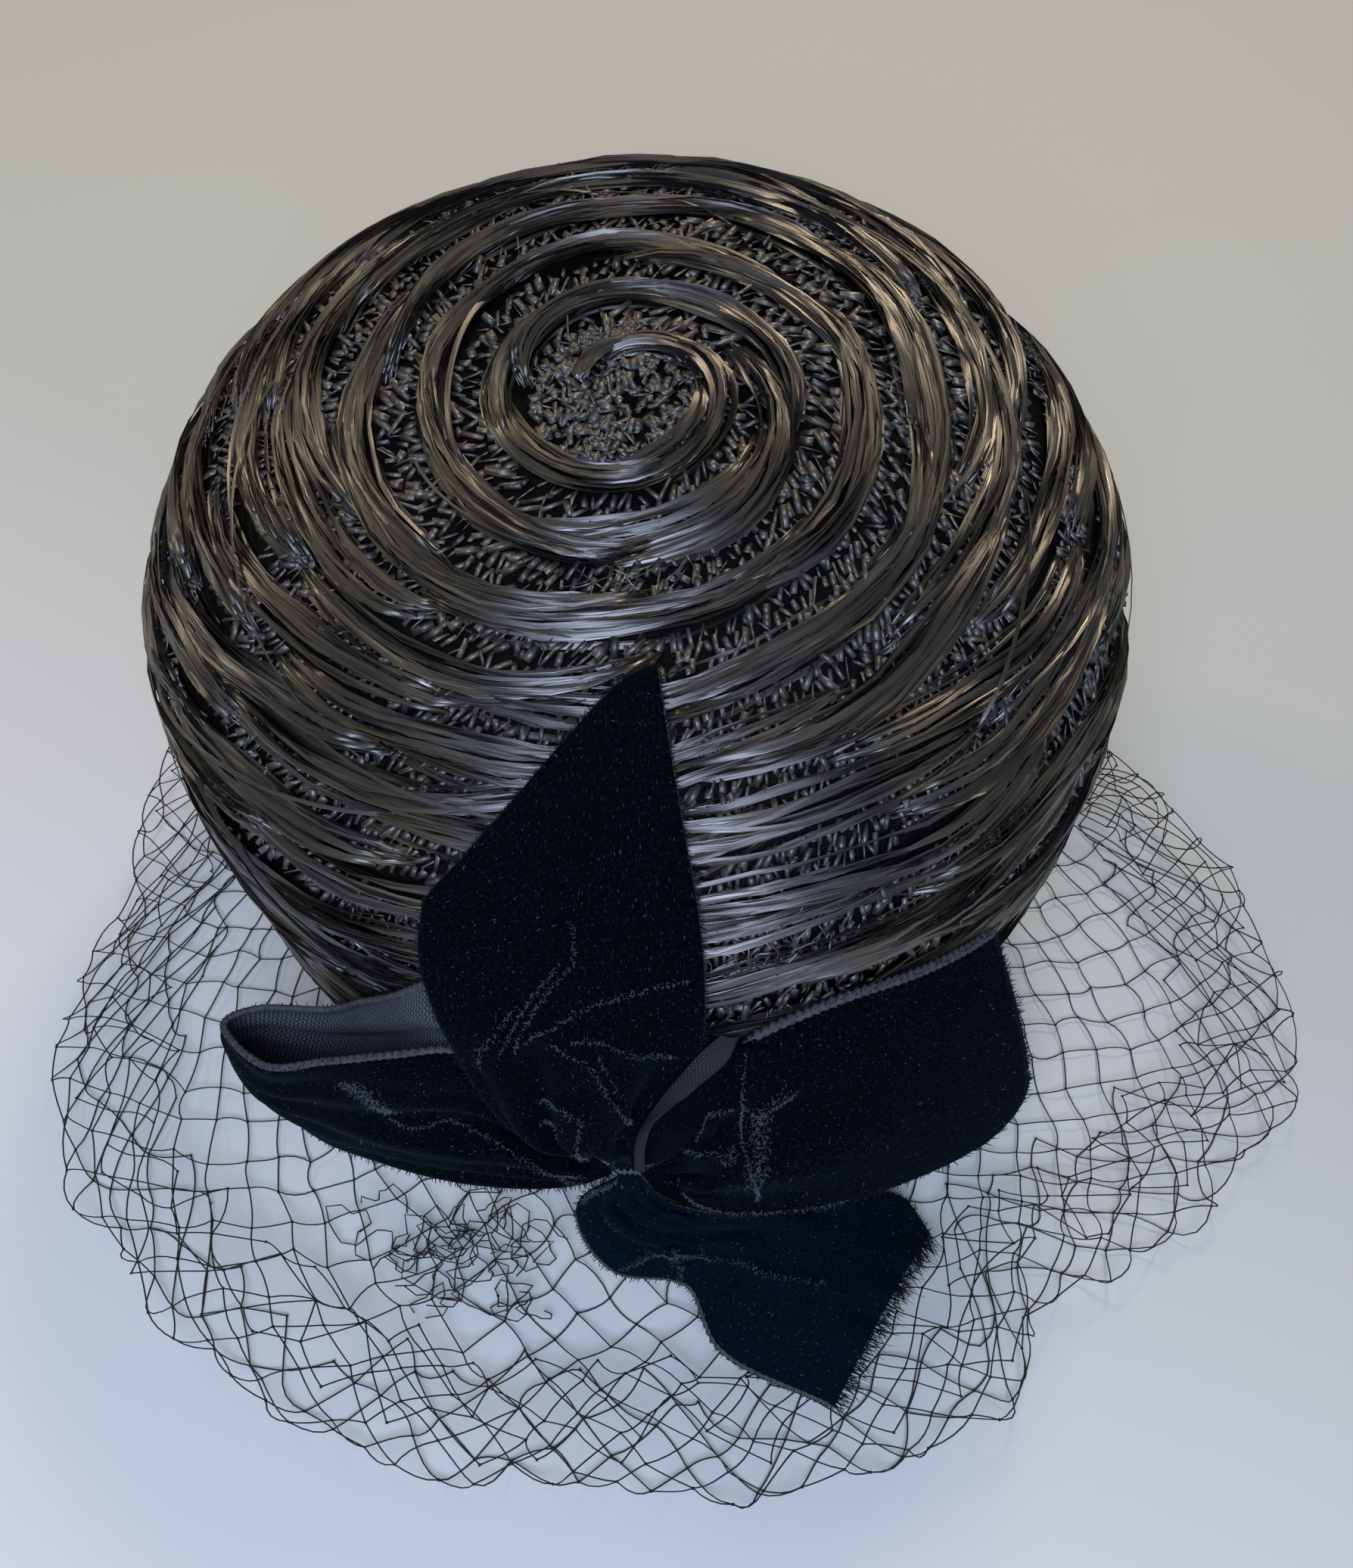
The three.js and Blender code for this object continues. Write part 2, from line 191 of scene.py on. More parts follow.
class BowSettings(bpy.types.PropertyGroup):
    """Bow: velvet ribbon of one width, gathered and sewn at the middle of the bow."""

    width: length("Ribbon Width", "Width of the ribbon", 50)
    thickness: length("Ribbon Thickness", "Thickness of the ribbon with its pile", 1.1)
    pleats: number("Pleats", "Broad waves across the ribbon near the middle of the bow", 2)
    folds: number("Folds", "Narrow pleats across the ribbon where it is gathered", 4)
    fold_share: number("Fold Share", "Share of the spare width that the narrow pleats take up", 0.68)
    selvedge: length("Selvedge", "Thickness of the woven edge", 1.9)
    stitch: length("Edge Stitch", "Length of a stitch along the woven edge", 1.6)
    pile: length("Pile", "Length of the pile that stands over the edges", 1.1)
    fray: length("Fray", "Length of the threads at a cut end", 3.6)
    # The bright hairs along a crease are a painted highlight
    crest_step: length("Crest Step", "Distance between bright hairs along a crease", 0.15)
    lint: count("Lint", "Loose bright hairs on each length of ribbon", 190)
    velvet: colour("Velvet", "Colour in the depth of the pile", "#010305")
    # Laid Velvet is a painted-light copy of the velvet: paler and bluer for the front end of the ribbon,
    # which faces up into the light
    laid: colour("Laid Velvet", "Colour in the depth of the pile where it leans to the light", "#020d18")
    fleck: colour("Fleck", "Colour of the tips of the pile", "#08111b")
    sheen: colour("Sheen", "Colour of the pile seen from its side", "#57819f")
    # Crest is a painted highlight: pale pile along the creases stands for the light that they catch, and
    # the same colour is strewn over the velvet as pale specks
    crest: colour("Crest", "Colour of the pile that is bent open along a crease", "#5a646c")
    # Backing is the grey of the woven back, lifted a little as painted light because it is mostly seen in
    # the shade inside the loop; Turned Edge is a darker copy of it, painted shade for the strip in the
    # fold's shade
    backing: colour("Backing", "Colour of the woven back of the ribbon", "#545a65")
    turned: colour("Turned Edge", "Colour of the back where the edge is turned over", "#303237")
    edge: colour("Edge", "Colour of the woven edge", "#44474c")


class VeilSettings(bpy.types.PropertyGroup):
    """Veil: knotted diamonds round the rim, whose outer edge is folded under."""

    meshes: count("Meshes", "Diamonds round the rim", 63)
    rows: count("Rows", "Rows of knots from the rim to the folded end", 22)
    row_step: length("Row Step", "Distance from one row of knots to the next", 5.7)
    depth: length("Depth", "Depth of the net before its edge is folded under", 116)
    fold_share: number("Fold Share", "Most of the depth on show that is folded under again", 0.72)
    thread: length("Thread", "Thickness of the thread", 0.34)
    knot: length("Knot", "Thickness of a knot", 0.68)
    roll: length("Roll", "Height of the folded edge", 11)
    roll_run: length("Roll Run", "Distance over which the net rises to its folded edge", 34)
    lift: length("Lift", "Height of the flat net", 0.9)
    shake: length("Shake", "Unevenness of the knots", 0.85)
    tangle: length("Tangle", "Reach of the tangle under the front end of the ribbon", 17)
    tangle_x: length("Tangle X", "Middle of the tangle, sideways", -50)
    tangle_y: length("Tangle Y", "Middle of the tangle, from front to back", -92)
    loops: count("Loops", "Loose loops of thread in the tangle", 30)
    tuck: length("Tuck", "Reach of the net under the rim, and gap between the band and the edge", 2)
    band: length("Band", "Depth of the crumpled band along the outer edge", 28)
    black: colour("Thread Black", "Colour of the thread", "#27282c")


class StageSettings(bpy.types.PropertyGroup):
    """Floor, lights and camera."""

    floor: colour("Floor", "Colour of the floor", "#d9dddd")
    # Floor Behind is painted shade: the paper is drawn darker towards the back and the right, where less
    # light falls
    floor_shaded_behind: colour("Floor Behind", "Colour of the paper behind the hat", "#c2c7c0")
    daylight: colour("Daylight", "Colour of the large light at the front", "#d3e0ff")
    lamplight: colour("Lamplight", "Colour of the lights behind and beside", "#ffe4c0")
    ambient: number("Ambient", "Strength of the light from all round", 0.14)
    sensor: number("Sensor", "Longer side of the camera's sensor in millimetres", 36)
    focal: number("Focal Length", "Focal length of the lens in millimetres", 39.96)
    distance: length("Camera Distance", "Distance of the camera from what it looks at", 448.13)
    elevation: angle("Camera Elevation", "Angle of the camera over the floor", 50.66)
    roll: angle("Camera Roll", "Turn of the camera round its own line of sight", 2.48)
    aim_x: length("Aim X", "Place on the floor that the camera looks at, sideways", -5.45)
    aim_y: length("Aim Y", "Place on the floor that the camera looks at, from front to back", 40.19)


# Meshes from arrays

# Points round a straw, thread or hair
TAPE = 4
# Directions off the plumb line, across which the sides of thin tubes are laid out
HAIR_UP, THREAD_UP, KNOT_UP = np.array([[0.21, 0.34, 0.92], [0.3, 0.2, 0.93], [0.1, 0.2, 1.0]])


def new_piece(name, points, faces, materials, slot, cloth=None, tint=None, sides=None, tape=0):
    """Object of four-cornered faces, with its points, cloth coordinates, tints and materials set as arrays.

    Tape is the number of points round a flat tape, whose two long edges stay keen.
    """
    mesh = bpy.data.meshes.new(name)
    mesh.vertices.add(len(points))
    mesh.vertices.foreach_set("co", np.asarray(points, np.float32).ravel())
    mesh.loops.add(faces.size)
    mesh.loops.foreach_set("vertex_index", faces.astype(np.int32).ravel())
    mesh.polygons.add(len(faces))
    mesh.polygons.foreach_set("loop_start", np.arange(0, faces.size, 4, dtype=np.int32))
    mesh.polygons.foreach_set("use_smooth", np.ones(len(faces), bool))
    for material in materials:
        mesh.materials.append(material)
    if sides is not None:
        mesh.polygons.foreach_set("material_index", sides.astype(np.int32))
    if cloth is not None:
        layer = mesh.uv_layers.new(name="cloth")
        layer.data.foreach_set("uv", cloth[faces.ravel()].astype(np.float32).ravel())
    if tint is not None:
        layer = mesh.attributes.new("tint", "FLOAT", "POINT")
        layer.data.foreach_set("value", tint.astype(np.float32))
    mesh.update(calc_edges=True)
    if tape:
        ends = np.empty(len(mesh.edges) * 2, np.int32)
        mesh.edges.foreach_get("vertices", ends)
        corner = ends.reshape(-1, 2) % tape
        long_edge = (corner[:, 0] == corner[:, 1]) & (corner[:, 0] % (tape // 2) == 0)
        mesh.edges.foreach_set("use_edge_sharp", long_edge)
    piece = bpy.data.objects.new(name, mesh)
    bpy.context.scene.collection.objects.link(piece)
    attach(piece, "root")
    return piece


def unit(vectors):
    """Vectors scaled to a length of one."""
    return vectors / np.maximum(np.linalg.norm(vectors, axis=-1, keepdims=True), 1e-12)


def run_along(line):
    """Lengths run along a line of points, from nothing at its first point."""
    return np.append(0, np.cumsum(np.linalg.norm(np.diff(line, axis=0), axis=1)))


def ring_cap(ring):
    """Faces across a closed ring of an even number of points, in strips from one side to the other."""
    size = ring.shape[-1]
    first = np.arange(size // 2 - 1)
    corners = np.stack([first, first + 1, size - 2 - first, size - 1 - first], -1)
    return ring[..., corners].reshape(-1, 4)


def swept(path, up, half_wide, half_high, sides=TAPE):
    """Closed tubes: an ellipse carried along each path of a batch, its wide way across the up direction.

    The point at angle a of a ring is path + half_wide cos(a) across + half_high sin(a) up.
    """
    ahead = unit(np.gradient(path, axis=1))
    up = unit(up - ahead * (up * ahead).sum(-1, keepdims=True))
    across = np.cross(up, ahead)
    turn = TAU * np.arange(sides) / sides
    wide = np.broadcast_to(half_wide, path.shape[:2])[..., None, None] * np.cos(turn)[:, None]
    high = np.broadcast_to(half_high, path.shape[:2])[..., None, None] * np.sin(turn)[:, None]
    points = path[..., None, :] + wide * across[..., None, :] + high * up[..., None, :]
    rings = np.arange(points.size // 3).reshape(points.shape[:3])
    beside = np.roll(rings, -1, axis=2)
    walls = np.stack([rings[:, :-1], beside[:, :-1], beside[:, 1:], rings[:, 1:]], -1).reshape(-1, 4)
    faces = np.concatenate([walls, ring_cap(rings[:, 0, ::-1]), ring_cap(rings[:, -1])])
    steps = np.linalg.norm(np.diff(path, axis=1), axis=-1)
    run = np.concatenate([np.zeros((len(path), 1)), np.cumsum(steps, axis=1)], axis=1)
    cloth = np.stack(np.broadcast_arrays(wide[..., 0], run[..., None]), -1)
    return points.reshape(-1, 3), faces, cloth.reshape(-1, 2)


def slab(front, back):
    """Closed sheet from two like grids of points: both faces, and walls round the four edges."""
    rows, columns = front.shape[:2]
    upper = np.arange(rows * columns).reshape(rows, columns)
    lower = upper + rows * columns
    faces = [
        np.stack([upper[:-1, :-1], upper[1:, :-1], upper[1:, 1:], upper[:-1, 1:]], -1).reshape(-1, 4),
        np.stack([lower[:-1, :-1], lower[:-1, 1:], lower[1:, 1:], lower[1:, :-1]], -1).reshape(-1, 4),
    ]
    for above, below in ((upper[:, 0], lower[:, 0]), (upper[-1], lower[-1]),
                         (upper[::-1, -1], lower[::-1, -1]), (upper[0, ::-1], lower[0, ::-1])):
        faces.append(np.stack([above[:-1], below[:-1], below[1:], above[1:]], -1))
    sizes = [len(part) for part in faces]
    return np.concatenate([front.reshape(-1, 3), back.reshape(-1, 3)]), np.concatenate(faces), sizes


def both_faces(first, second):
    """Cloth coordinates of both faces of a slab, from arrays that spread over its rows and columns."""
    return np.concatenate([np.stack(np.broadcast_arrays(first, second), -1).reshape(-1, 2)] * 2)


# Crown


def crown_outline(crown, inset=0.0):
    """Half outline of the crown as distance down from the top centre, radius and rise.

    The dome is a quarter of a superellipse. The side draws in by a power of the way passed to the rim.
    """
    steps = 400
    slope = np.linspace(np.pi / 2, 0, steps)
    power = 2 / crown.shoulder_power
    passed = np.linspace(0, 1, steps)[1:]
    bulge = crown.bulge_radius - inset
    flare = crown.bulge_radius - crown.rim_radius
    dome_rise = crown.rise - inset - crown.bulge_rise
    radius = np.append(bulge * np.cos(slope) ** power, bulge - flare * passed ** crown.flare_power)
    rise = np.append(crown.bulge_rise + dome_rise * np.sin(slope) ** power, crown.bulge_rise * (1 - passed))
    down = np.append(0, np.cumsum(np.hypot(np.diff(radius), np.diff(rise))))
    return down, radius, rise


def crown_section(crown, angle, rise, radius):
    """Points at an angle and radius from the leaning axis, which is an arc, at a rise along it."""
    bend = crown.lean / crown.rise
    tilt = bend * rise
    along, side = np.cos(crown.lean_towards), np.sin(crown.lean_towards)
    spread = np.sin(np.pi * np.clip(rise / crown.rise, 0, 1)) ** crown.oval_spread
    reach = radius * (1 + crown.oval * spread * np.cos(2 * (angle - crown.oval_axis)))
    leaning = reach * np.cos(angle - crown.lean_towards)
    aside = reach * np.sin(angle - crown.lean_towards)
    shift = (1 - np.cos(tilt)) / bend + leaning * np.cos(tilt)
    x = crown.rim_x + along * shift - side * aside
    y = crown.rim_y + side * shift + along * aside
    return np.stack([x, y, np.sin(tilt) / bend - leaning * np.sin(tilt)], -1)


def on_crown(crown, turn, down, out):
    """Points at crown measures: the outline's own point, moved out along the outline's normal."""
    along, radius, rise = crown_outline(crown)
    down = np.clip(down, 0, along[-1])
    level = np.interp(down, along, np.gradient(radius, along))
    steep = np.interp(down, along, np.gradient(rise, along))
    foot_radius = np.interp(down, along, radius) - out * steep
    foot_rise = np.interp(down, along, rise) + out * level
    return crown_section(crown, np.radians(turn) - np.pi / 2, foot_rise, foot_radius)


def spiral(straw, sweep, aside):
    """Turn and down of places beside the spiral, which runs clockwise about a centre behind the top centre.

    The distance from that centre grows by one pitch a turn on the top, and by another on the side.
    """
    turns = sweep / TAU
    reach = straw.spiral_start + straw.top_pitch * np.minimum(turns, straw.top_turns)
    reach = reach + straw.side_pitch * np.maximum(turns - straw.top_turns, 0) + aside
    x = -reach * np.sin(sweep)
    y = -reach * np.cos(sweep) + straw.spiral_back
    return np.degrees(np.arctan2(x, -y)), np.hypot(x, y)


def along_spiral(crown, straw):
    """Sweep angles, lengths run along the spiral, and radii of the bend there, in close steps."""
    steps = 6000
    sweep = np.linspace(straw.spiral_first, TAU * straw.turns, steps)
    run = run_along(on_crown(crown, *spiral(straw, sweep, 0), 0))
    return sweep, run, np.gradient(run, sweep)


def laid_straws(crown, straw, thick, sweep, aside, out, width, twist):
    """Flat straws along paths beside the spiral, turned about their own length by a twist."""
    floor = 0.3 * MM
    turn, down = spiral(straw, sweep, aside)
    down = np.minimum(down, crown_outline(crown)[0][-1] - MM)
    path = on_crown(crown, turn, down, out)
    up = unit(on_crown(crown, turn, down, out + MM) - path)
    path[..., 2] = np.maximum(path[..., 2], floor)
    ahead = unit(np.gradient(path, axis=1))
    up = unit(up * np.cos(twist)[..., None] + np.cross(ahead, up) * np.sin(twist)[..., None])
    return swept(path, up, width / 2, thick / 2)


def hank_straws(crown, straw):
    """Straws of all the hanks: sweep, aside, out, width and twist along each, in rows from end to end.

    A hank is a lens along the spiral. Its straws keep their share of its width, slant across the spiral
    with it, arch over the ground at its middle and sink into the ground at its ends. On the side the
    slant is a sine of the turn, so that the hanks fall away from the front both ways. Each straw rolls one
    way and then the other along its length, so that a hank shines in patches.
    """
    rng = np.random.default_rng(11)
    top_reach, blend, narrow_reach = 35 * MM, 45 * MM, 75 * MM
    wave_length, ripple_length, sway_length = 62 * MM, 27 * MM, 46 * MM
    sweep, run, radius = along_spiral(crown, straw)
    size = np.minimum(straw.hank_length, straw.hank_arc * radius)
    passed = np.append(0, np.cumsum(np.diff(run) / (straw.hank_overlap * size[1:])))
    ordinals = np.arange(0.6, passed[-1])
    hanks = len(ordinals)
    middle = np.interp(ordinals + rng.uniform(-0.2, 0.2, hanks), passed, run)
    turn, down = spiral(straw, np.interp(middle, run, sweep), 0)
    sidelong = np.clip((down - top_reach) / blend, 0, 1)
    fall = straw.side_slant * np.sin(np.radians(turn) - straw.slant_middle)
    slant = straw.top_slant * (1 - sidelong) - fall * sidelong + rng.normal(0, 0.045, hanks)
    hank_size = np.interp(middle, run, size) * rng.uniform(0.85, 1.2, hanks)
    narrow = 1 - straw.top_narrowing * np.clip(1 - down / narrow_reach, 0, 1)
    fuller = 1 + 0.14 * np.cos(np.radians(turn))
    hank_width = straw.hank_width * narrow * fuller * rng.uniform(0.75, 1.2, hanks)
    hank_height = straw.hank_height * rng.uniform(0.8, 1.1, hanks)
    hooked = straw.hook * (rng.random(hanks) < 0.3) * rng.uniform(0.5, 1, hanks)
    shift = rng.normal(0, 0.8 * MM, hanks)

    lower = straw.straws // 2
    lane = np.concatenate([np.linspace(-1, 1, straw.straws), np.linspace(-0.8, 0.8, lower)])
    layer = np.concatenate([np.ones(straw.straws), np.full(lower, 0.6)])
    straws = len(lane)
    per_straw = (hanks, straws, 1)
    lane = lane + rng.normal(0, 0.08, (hanks, straws))
    lane = lane + 0.19 * np.sin(9.4 * lane + rng.uniform(0, TAU, (hanks, 1)))
    begin = -1 + rng.uniform(0, 0.25, (hanks, straws))
    end = 1 - rng.uniform(0, 0.25, (hanks, straws))
    share = begin[..., None] + (end - begin)[..., None] * np.linspace(0, 1, 12)

    def each(values):
        return values[:, None, None]

    lens = 0.22 + 0.78 * np.clip(1 - share ** 2, 0, 1) ** 0.6
    body = np.clip(1 - share ** 4, 0, 1) ** 0.6
    place = each(middle) + each(hank_size) / 2 * share
    wave = 0.8 * MM * np.sin(TAU * place / wave_length + each(rng.uniform(0, TAU, hanks)))
    ripple = 0.35 * MM * np.sin(TAU * place / ripple_length + rng.uniform(0, TAU, per_straw))
    aside = each(slant * hank_size) / 2 * share + each(hank_width) / 2 * lens * lane[..., None]
    aside = aside + wave + ripple + each(shift) - each(hooked) * np.exp(-(share + 1) / 0.2)
    arch = np.sqrt(np.clip(1 - (0.9 * lane) ** 2, 0.04, 1))[..., None] * layer[:, None]
    out = -1.1 * MM + (1.5 * MM + each(hank_height) * arch) * body - 0.35 * MM * share
    out = out + rng.normal(0, 0.34 * MM, per_straw) * body
    taper = 0.6 + 0.4 * np.sqrt(np.clip(1 - share ** 2, 0, 1))
    width = straw.straw_width * rng.uniform(0.6, 1.5, per_straw) * taper
    phase = 1.5 * lane[..., None] + rng.normal(0, 0.5, per_straw) + each(rng.uniform(0, TAU, hanks))
    sway = 0.6 * np.tanh(3 * np.sin(TAU * place / sway_length + phase))
    twist = 0.4 * lane[..., None] + rng.normal(0, 0.34, per_straw) + sway
    rows = [np.interp(place, run, sweep), aside, out, width, twist]
    return [row.reshape(-1, row.shape[-1]) for row in rows], np.repeat(middle, straws)


def stray_straws(crown, straw):
    """Single straws that wander across the hanks in long shallow arcs, a little over them."""
    rng = np.random.default_rng(23)
    each = (straw.strays, 1)
    sweep, run, radius = along_spiral(crown, straw)
    middle = rng.uniform(0.02, 0.97, straw.strays) * run[-1]
    size = np.minimum(rng.uniform(50, 110, straw.strays) * MM, 1.6 * np.interp(middle, run, radius))
    share = np.linspace(-1, 1, 18)[None]
    place = middle[:, None] + size[:, None] / 2 * share
    drift = rng.normal(0, 5 * MM, each)
    bow = rng.normal(0, 3 * MM, each)
    aside = rng.normal(0, 3 * MM, each) + drift * share + bow * share ** 2
    out = (0.2 + 3.2 * (1 - share ** 4)) * MM + rng.uniform(-0.5, 0.3, each) * MM
    width = straw.straw_width * rng.uniform(0.6, 1.1, each) * np.ones_like(share)
    twist = rng.normal(0, 0.5, each) + 0.6 * share
    return np.interp(place, run, sweep), aside, out, width, twist


def splinters(crown, straw):
    """Short broken bits of straw strewn between the hanks in patches, standing up a little at one end."""
    rng = np.random.default_rng(27)
    each = (straw.splinters, 1)
    sweep, run, _ = along_spiral(crown, straw)
    patches = rng.uniform(0.02, 0.95, 16) * run[-1]
    middle = rng.choice(patches, each) + rng.normal(0, 7 * MM, each)
    share = np.linspace(-1, 1, 4)[None]
    half = rng.uniform(1.5, 4.5, each) * MM
    way = rng.uniform(0, np.pi, each)
    place = middle + half * np.cos(way) * share
    aside = straw.side_pitch / 2 + rng.normal(0, 2 * MM, each) + half * np.sin(way) * share
    tilt = rng.normal(0, 0.5, each) * share
    out = (1.2 + rng.uniform(0, 0.8, each) + tilt) * MM
    width = 0.3 * straw.straw_width * np.ones_like(place)
    twist = rng.normal(0, 0.8, each) * np.ones_like(share)
    return np.interp(place, run, sweep), aside, out, width, twist


# Ways from the middle of a stitch to its two ends
ENDS = np.array([[-1.0, 1.0]])


def knit_stitches(crown, straw):
    """Stitches of the ground: short flat flakes that lie across the spiral, stacked along it and tilted."""
    rng = np.random.default_rng(31)
    sweep, run, _ = along_spiral(crown, straw)
    edge = np.interp(TAU * straw.top_turns, sweep, run)
    column_step = 0.86 * straw.stitch_length
    spots = []
    for low, high, pitch in ((0, edge, straw.top_pitch), (edge, run[-1], straw.side_pitch)):
        steps = np.arange(low, high, straw.stitch_step)
        for column in range(straw.stitch_columns):
            offset = pitch / 2 + (column - (straw.stitch_columns - 1) / 2) * column_step
            along = steps + (column % 2) * straw.stitch_step / 2
            spots.append(np.stack([along, np.full(len(steps), offset)]))
    place, lane = np.concatenate(spots, axis=1)
    total = len(place)
    share = ENDS
    lean = rng.normal(0.3, 0.4, (total, 1))
    size = straw.stitch_length * rng.uniform(0.5, 1.2, (total, 1))
    place = place[:, None] + rng.normal(0, 0.35 * MM, (total, 1)) + lean * size / 2 * share
    aside = lane[:, None] + rng.normal(0, 0.35 * MM, (total, 1)) + size / 2 * share
    centre = centre_stitches(straw, rng)
    sweep = np.concatenate([np.interp(place, run, sweep), centre[0]])
    aside = np.concatenate([aside, centre[1]])
    total = len(sweep)
    tilt = rng.normal(0, 0.26, (total, 1)) * straw.stitch_length / 2
    out = rng.uniform(0.2, 1.2, (total, 1)) * MM + tilt * share
    width = straw.stitch_width * rng.uniform(0.55, 1.25, (total, 1)) * np.ones_like(share)
    twist = rng.normal(0, 0.55, (total, 1)) * np.ones_like(share)
    return sweep, aside, out, width, twist


def straw_piece(context, name, rows, thick, material, rng):
    """Piece of straws laid along rows of sweep, aside, out, width and twist, each with a dye of its own."""
    crown, straw = context.scene.hat_crown, context.scene.hat_straw
    points, faces, cloth = laid_straws(crown, straw, thick, *rows)
    each = rows[0].shape[1] * TAPE
    cloth[:, 0] += np.repeat(rng.random(len(rows[0])), each)
    tint = np.repeat(rng.beta(0.9, 0.8, len(rows[0])), each)
    new_piece(name, points, faces, [material], "straw", cloth=cloth, tint=tint, tape=TAPE)


def centre_stitches(straw, rng):
    """Sweep and aside of stitches strewn over the round field inside the first hank."""
    each, field = (620, 1), 18 * MM
    reach = np.sqrt(rng.uniform(0.01, 1, each)) * field
    sweep = rng.uniform(0, TAU, each)
    way = rng.uniform(0, np.pi, each)
    half = straw.stitch_length * rng.uniform(0.3, 0.5, each)
    sweep = sweep + np.clip(half * np.cos(way) / reach, -1, 1) * ENDS
    reach = np.abs(reach + half * np.sin(way) * ENDS)
    return sweep, reach - straw.spiral_start - straw.top_pitch * sweep / TAU


# Materials

BLACK = (0, 0, 0, 1)


def new_material(name):
    """Empty material, to which nodes are added."""
    material = bpy.data.materials.new(name)
    material.use_nodes = True
    material.node_tree.nodes.clear()
    return material


def node(material, kind, inputs=None, **settings):
    """Adds a node with its settings, and its inputs as values or as links from other nodes' sockets."""
    made = material.node_tree.nodes.new("ShaderNode" + kind)
    for name, value in settings.items():
        setattr(made, name, value)
    for socket, value in (inputs or {}).items():
        if isinstance(value, bpy.types.NodeSocket):
            material.node_tree.links.new(value, made.inputs[socket])
        else:
            made.inputs[socket].default_value = value
    return made


def opaque(rgb):
    """Colour with full alpha, for a node's socket."""
    return (*rgb, 1.0)


def own_place(material):
    """Place in the hat's frame."""
    return node(material, "TexCoord").outputs["Object"]


def cloth_place(material, wide=1.0, long=1.0):
    """Place across and along the cloth, counted in widths and lengths."""
    place = node(material, "UVMap", uv_map="cloth").outputs[0]
    return node(material, "Mapping", {"Vector": place, "Scale": (1 / wide, 1 / long, 1)}).outputs[0]


def noise(material, place, size, detail):
    """Noise whose spots are about as wide as a size."""
    return node(material, "TexNoise", {"Vector": place, "Scale": 1 / size, "Detail": detail}).outputs["Fac"]


def ranged(material, value, low, high, first=0.0, last=1.0):
    """Value brought from its own range to another, and held at the ends."""
    return node(material, "MapRange", {0: value, 1: low, 2: high, 3: first, 4: last}).outputs[0]


def times(material, one, other):
    """Product of two values."""
    return node(material, "Math", {0: one, 1: other}, operation="MULTIPLY").outputs[0]


def mixed(material, share, first, last):
    """Colour between two colours, by a share."""
    return node(material, "Mix", {0: share, 6: first, 7: last}, data_type="RGBA").outputs[2]


def bumped(material, height, strength, depth):
    """Normal of a surface that a height raises by up to a depth."""
    return node(material, "Bump", {"Height": height, "Strength": strength, "Distance": depth}).outputs[0]


def surfaced(material, inputs):
    """Material with one shader on its surface."""
    shader = node(material, "BsdfPrincipled", inputs)
    node(material, "OutputMaterial", {"Surface": shader.outputs[0]})
    return material


def straw_material(name, black, grey, brown, dull):
    """Raffia drawn as flat viscose tape and dyed black.

    Streaks of deeper dye run along it, and its satin shine is stretched across the straw, so that it turns
    from black to grey with the way a straw runs.
    """
    material = new_material(name)
    tint = node(material, "Attribute", attribute_name="tint").outputs["Fac"]
    # Streaks drawn about twice as coarse as they are
    streak = noise(material, cloth_place(material, 0.5 * MM, 26 * MM), 1.0, 2.0)
    patch = noise(material, own_place(material), 34 * MM, 2.0)
    pale = times(material, ranged(material, streak, 0.4, 0.6), tint)
    warm = times(material, ranged(material, patch, 0.45, 0.68), pale)
    depth = mixed(material, pale, opaque(black), opaque(grey))
    across = node(material, "Tangent", direction_type="UV_MAP", uv_map="cloth")
    return surfaced(material, {
        "Base Color": mixed(material, warm, depth, opaque(brown)), "IOR": 1.55, "Specular IOR Level": 1.0,
        "Roughness": ranged(material, pale, 0.0, 0.8, 0.46 + dull, 0.26 + dull),
        "Anisotropic": 0.5, "Tangent": across.outputs[0], "Normal": bumped(material, streak, 0.8, 0.3 * MM),
        "Coat Weight": 0.35, "Coat Roughness": 0.3,
    })


def ground_material(straw):
    """Backs of the knitted stitches, in shadow: black and matt."""
    material = new_material("straw_ground")
    weave = noise(material, own_place(material), 2 * MM, 3.0)
    return surfaced(material, {
        "Base Color": mixed(material, weave, BLACK, opaque(straw.black)), "Roughness": 0.7,
        "Specular IOR Level": 0.1, "Normal": bumped(material, weave, 0.8, 0.6 * MM),
    })


def velvet_material(name, deep, bow):
    """Silk woven in loops that are cut to a standing pile.

    The light sinks in between its tips, so that it is black from above, with a blue-grey sheen where the
    pile is seen from its side.
    """
    material = new_material(name)
    place = cloth_place(material)
    pile = noise(material, place, 0.8 * MM, 3.0)
    drift = noise(material, place, 14 * MM, 2.0)
    seen = times(material, ranged(material, pile, 0.5, 0.72), ranged(material, drift, 0.4, 0.65, 0.4))
    dye = mixed(material, seen, opaque(deep), opaque(bow.fleck))
    # Pale specks in the crest colour: partly tips of the pile that stand apart, partly painted glints;
    # drawn about twice as coarse as they are
    grain = noise(material, cloth_place(material, 0.34 * MM, 0.8 * MM), 1.0, 0.0)
    apart = ranged(material, grain, 0.7, 0.9, last=0.34)
    return surfaced(material, {
        "Base Color": mixed(material, apart, dye, opaque(bow.crest)), "Roughness": 0.9,
        "Specular IOR Level": 0.03, "Normal": bumped(material, pile, 0.6, 0.35 * MM),
        "Sheen Weight": 0.06, "Sheen Roughness": 0.45, "Sheen Tint": opaque(bow.sheen),
    })


